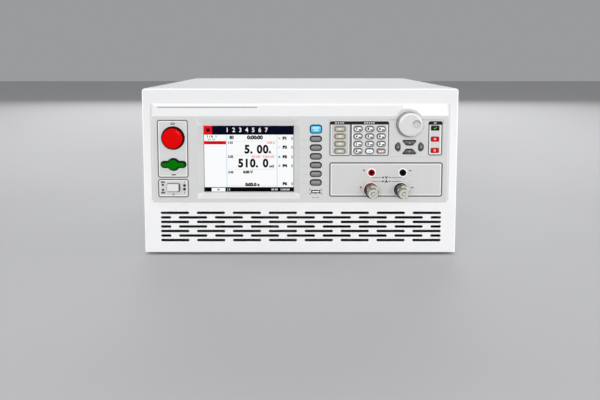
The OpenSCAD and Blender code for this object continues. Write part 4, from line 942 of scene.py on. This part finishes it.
# painted shade: dark rings round the mouths of the sense jacks
for c, x in zip(("red", "black"), JACK_X):
    b = Build().ring(circle(3.3, 64, (x, JACK_Z)), circle(2.03, 64, (x, JACK_Z)), 13.38, 13.46)
    b.ring(circle(3.22, 64, (x, JACK_Z)), circle(2.08, 64, (x, JACK_Z)), 13.46, 13.52)
    b.make(f"jack_mouth_shade_{c}", surface("jack_mouth_shade_dark_red", (0.085, 0.0006, 0.0010), 0.35, grain=(1200, 0.000006), specular=0.08)
           if c == "red" else MAT["terminal_black"], smooth=30)

    # painted shade: a black, matt well down each jack's bore
    b = Build().ring(circle(1.97, 64, (x, JACK_Z)), circle(1.80, 64, (x, JACK_Z)), -6.5, 13.36)
    b.plate(circle(1.96, 64, (x, JACK_Z)), -6.9, -6.5)
    b.make(f"jack_shade_well_{c}", surface(f"jack_well_{c}", (0.004, 0.004, 0.004), 0.85, grain=(1200, 0.00001), specular=0.0), smooth=30)

# the white plastic round the USB socket's contacts
tongue = (USB[0], USB[1] - 0.22)
b = Build().loft([(rr(9.8, 1.7, 0.3, 4, tongue), 2.0), (rr(9.8, 1.7, 0.3, 4, tongue), 11.3), (rr(9.4, 1.3, 0.2, 4, tongue), 11.5)])
b.make("usb_contact_carrier", surface("usb_plastic", (0.93, 0.93, 0.92), 0.45, grain=(1500, 0.00001), specular=0.2), smooth=30)

# its two spring tongues, bent up into the mouth
b = Build()
for sx in (-1, 1):
    x0, x1 = USB[0] + sx * 3.1 - 1.7, USB[0] + sx * 3.1 + 1.7
    base = len(b.v)
    for t in (0.0, 0.22):
        b.v += [at(x0, USB[1] - 2.50 + t, 11.2), at(x1, USB[1] - 2.50 + t, 11.2), at(x1, USB[1] - 1.65 + t, 5.6), at(x0, USB[1] - 1.65 + t, 5.6)]
    b.f += [tuple(base + i for i in f) for f in [(3, 2, 1, 0), (4, 5, 6, 7), (0, 1, 5, 4), (1, 2, 6, 5), (2, 3, 7, 6), (3, 0, 4, 7)]]
    b.m += [0] * 6
b.make("usb_springs", surface("usb_spring_steel", (0.50, 0.50, 0.51), 0.5, 0.35, grain=(900, 0.000006)), smooth=0)

# a plain rule on the sloped strip above the film
b = Build()


def slope_at(x, z, lift):
    t = (210.4 - z) / (210.4 - 194.9)
    p = 11.6 * t
    nrm = (0.8006, 0.5992)
    return at(x, z + nrm[1] * lift, p + nrm[0] * lift)


def slope_plate(b, x0, x1, z0, z1, lift=0.05):
    base = len(b.v)
    for l in (0.002, lift):
        b.v += [slope_at(x0, z0, l), slope_at(x1, z0, l), slope_at(x1, z1, l), slope_at(x0, z1, l)]
    q = [(3, 2, 1, 0), (4, 5, 6, 7), (0, 1, 5, 4), (1, 2, 6, 5), (2, 3, 7, 6), (3, 0, 4, 7)]
    b.f += [tuple(base + i for i in f) for f in q]
    b.m += [0] * 6


slope_plate(b, -193.4, -58.2, 205.15, 206.0)
b.make("strip_rule", INK["grey"], smooth=0)


# ------------------------------------------------------------------ room
def area_light(name, loc, target, size, power, color=(1, 1, 1), size_y=None):
    li = bpy.data.lights.new(name, "AREA")
    li.energy = power
    li.color = color
    li.shape = "RECTANGLE" if size_y else "SQUARE"
    li.size = size
    if size_y:
        li.size_y = size_y
    ob = bpy.data.objects.new(name, li)
    bpy.context.scene.collection.objects.link(ob)
    ob.location = loc
    ob.rotation_euler = (Vector(target) - Vector(loc)).to_track_quat("-Z", "Y").to_euler()
    return ob


area_light("key", (-0.9, -1.5, 1.7), (0, -0.05, 0.12), 0.9, 4.5)
area_light("front", (0.05, -2.7, 0.45), (0, 0, 0.12), 2.8, 38.0, size_y=0.8)
area_light("fill", (1.6, -1.7, 0.6), (0, 0, 0.12), 1.2, 4.0)
area_light("left", (-2.1, 0.0, 0.7), (0, 0, 0.1), 1.4, 16.0)
area_light("right", (2.1, 0.0, 0.7), (0, 0, 0.1), 1.4, 20.0)
area_light("back", (0.0, 2.3, 1.2), (0, 0, 0.1), 3.4, 34.0, size_y=1.5)

world = bpy.data.worlds.new("world")
bpy.context.scene.world = world
world.use_nodes = True
world.node_tree.nodes["Background"].inputs["Color"].default_value = (0.96, 0.97, 1.0, 1)
world.node_tree.nodes["Background"].inputs["Strength"].default_value = 0.34

bm = bmesh.new()
bmesh.ops.create_grid(bm, x_segments=2, y_segments=2, size=6)
me = bpy.data.meshes.new("floor")
bm.to_mesh(me)
bm.free()
floor = bpy.data.objects.new("floor", me)
bpy.context.scene.collection.objects.link(floor)
me.materials.append(surface("floor", (0.60, 0.60, 0.61), 0.62, grain=None, mottle=0.01, mottle_scale=2, rough_var=0.02, specular=0.2))

bpy.context.scene.view_settings.view_transform = "Standard"
bpy.context.scene.view_settings.look = "None"
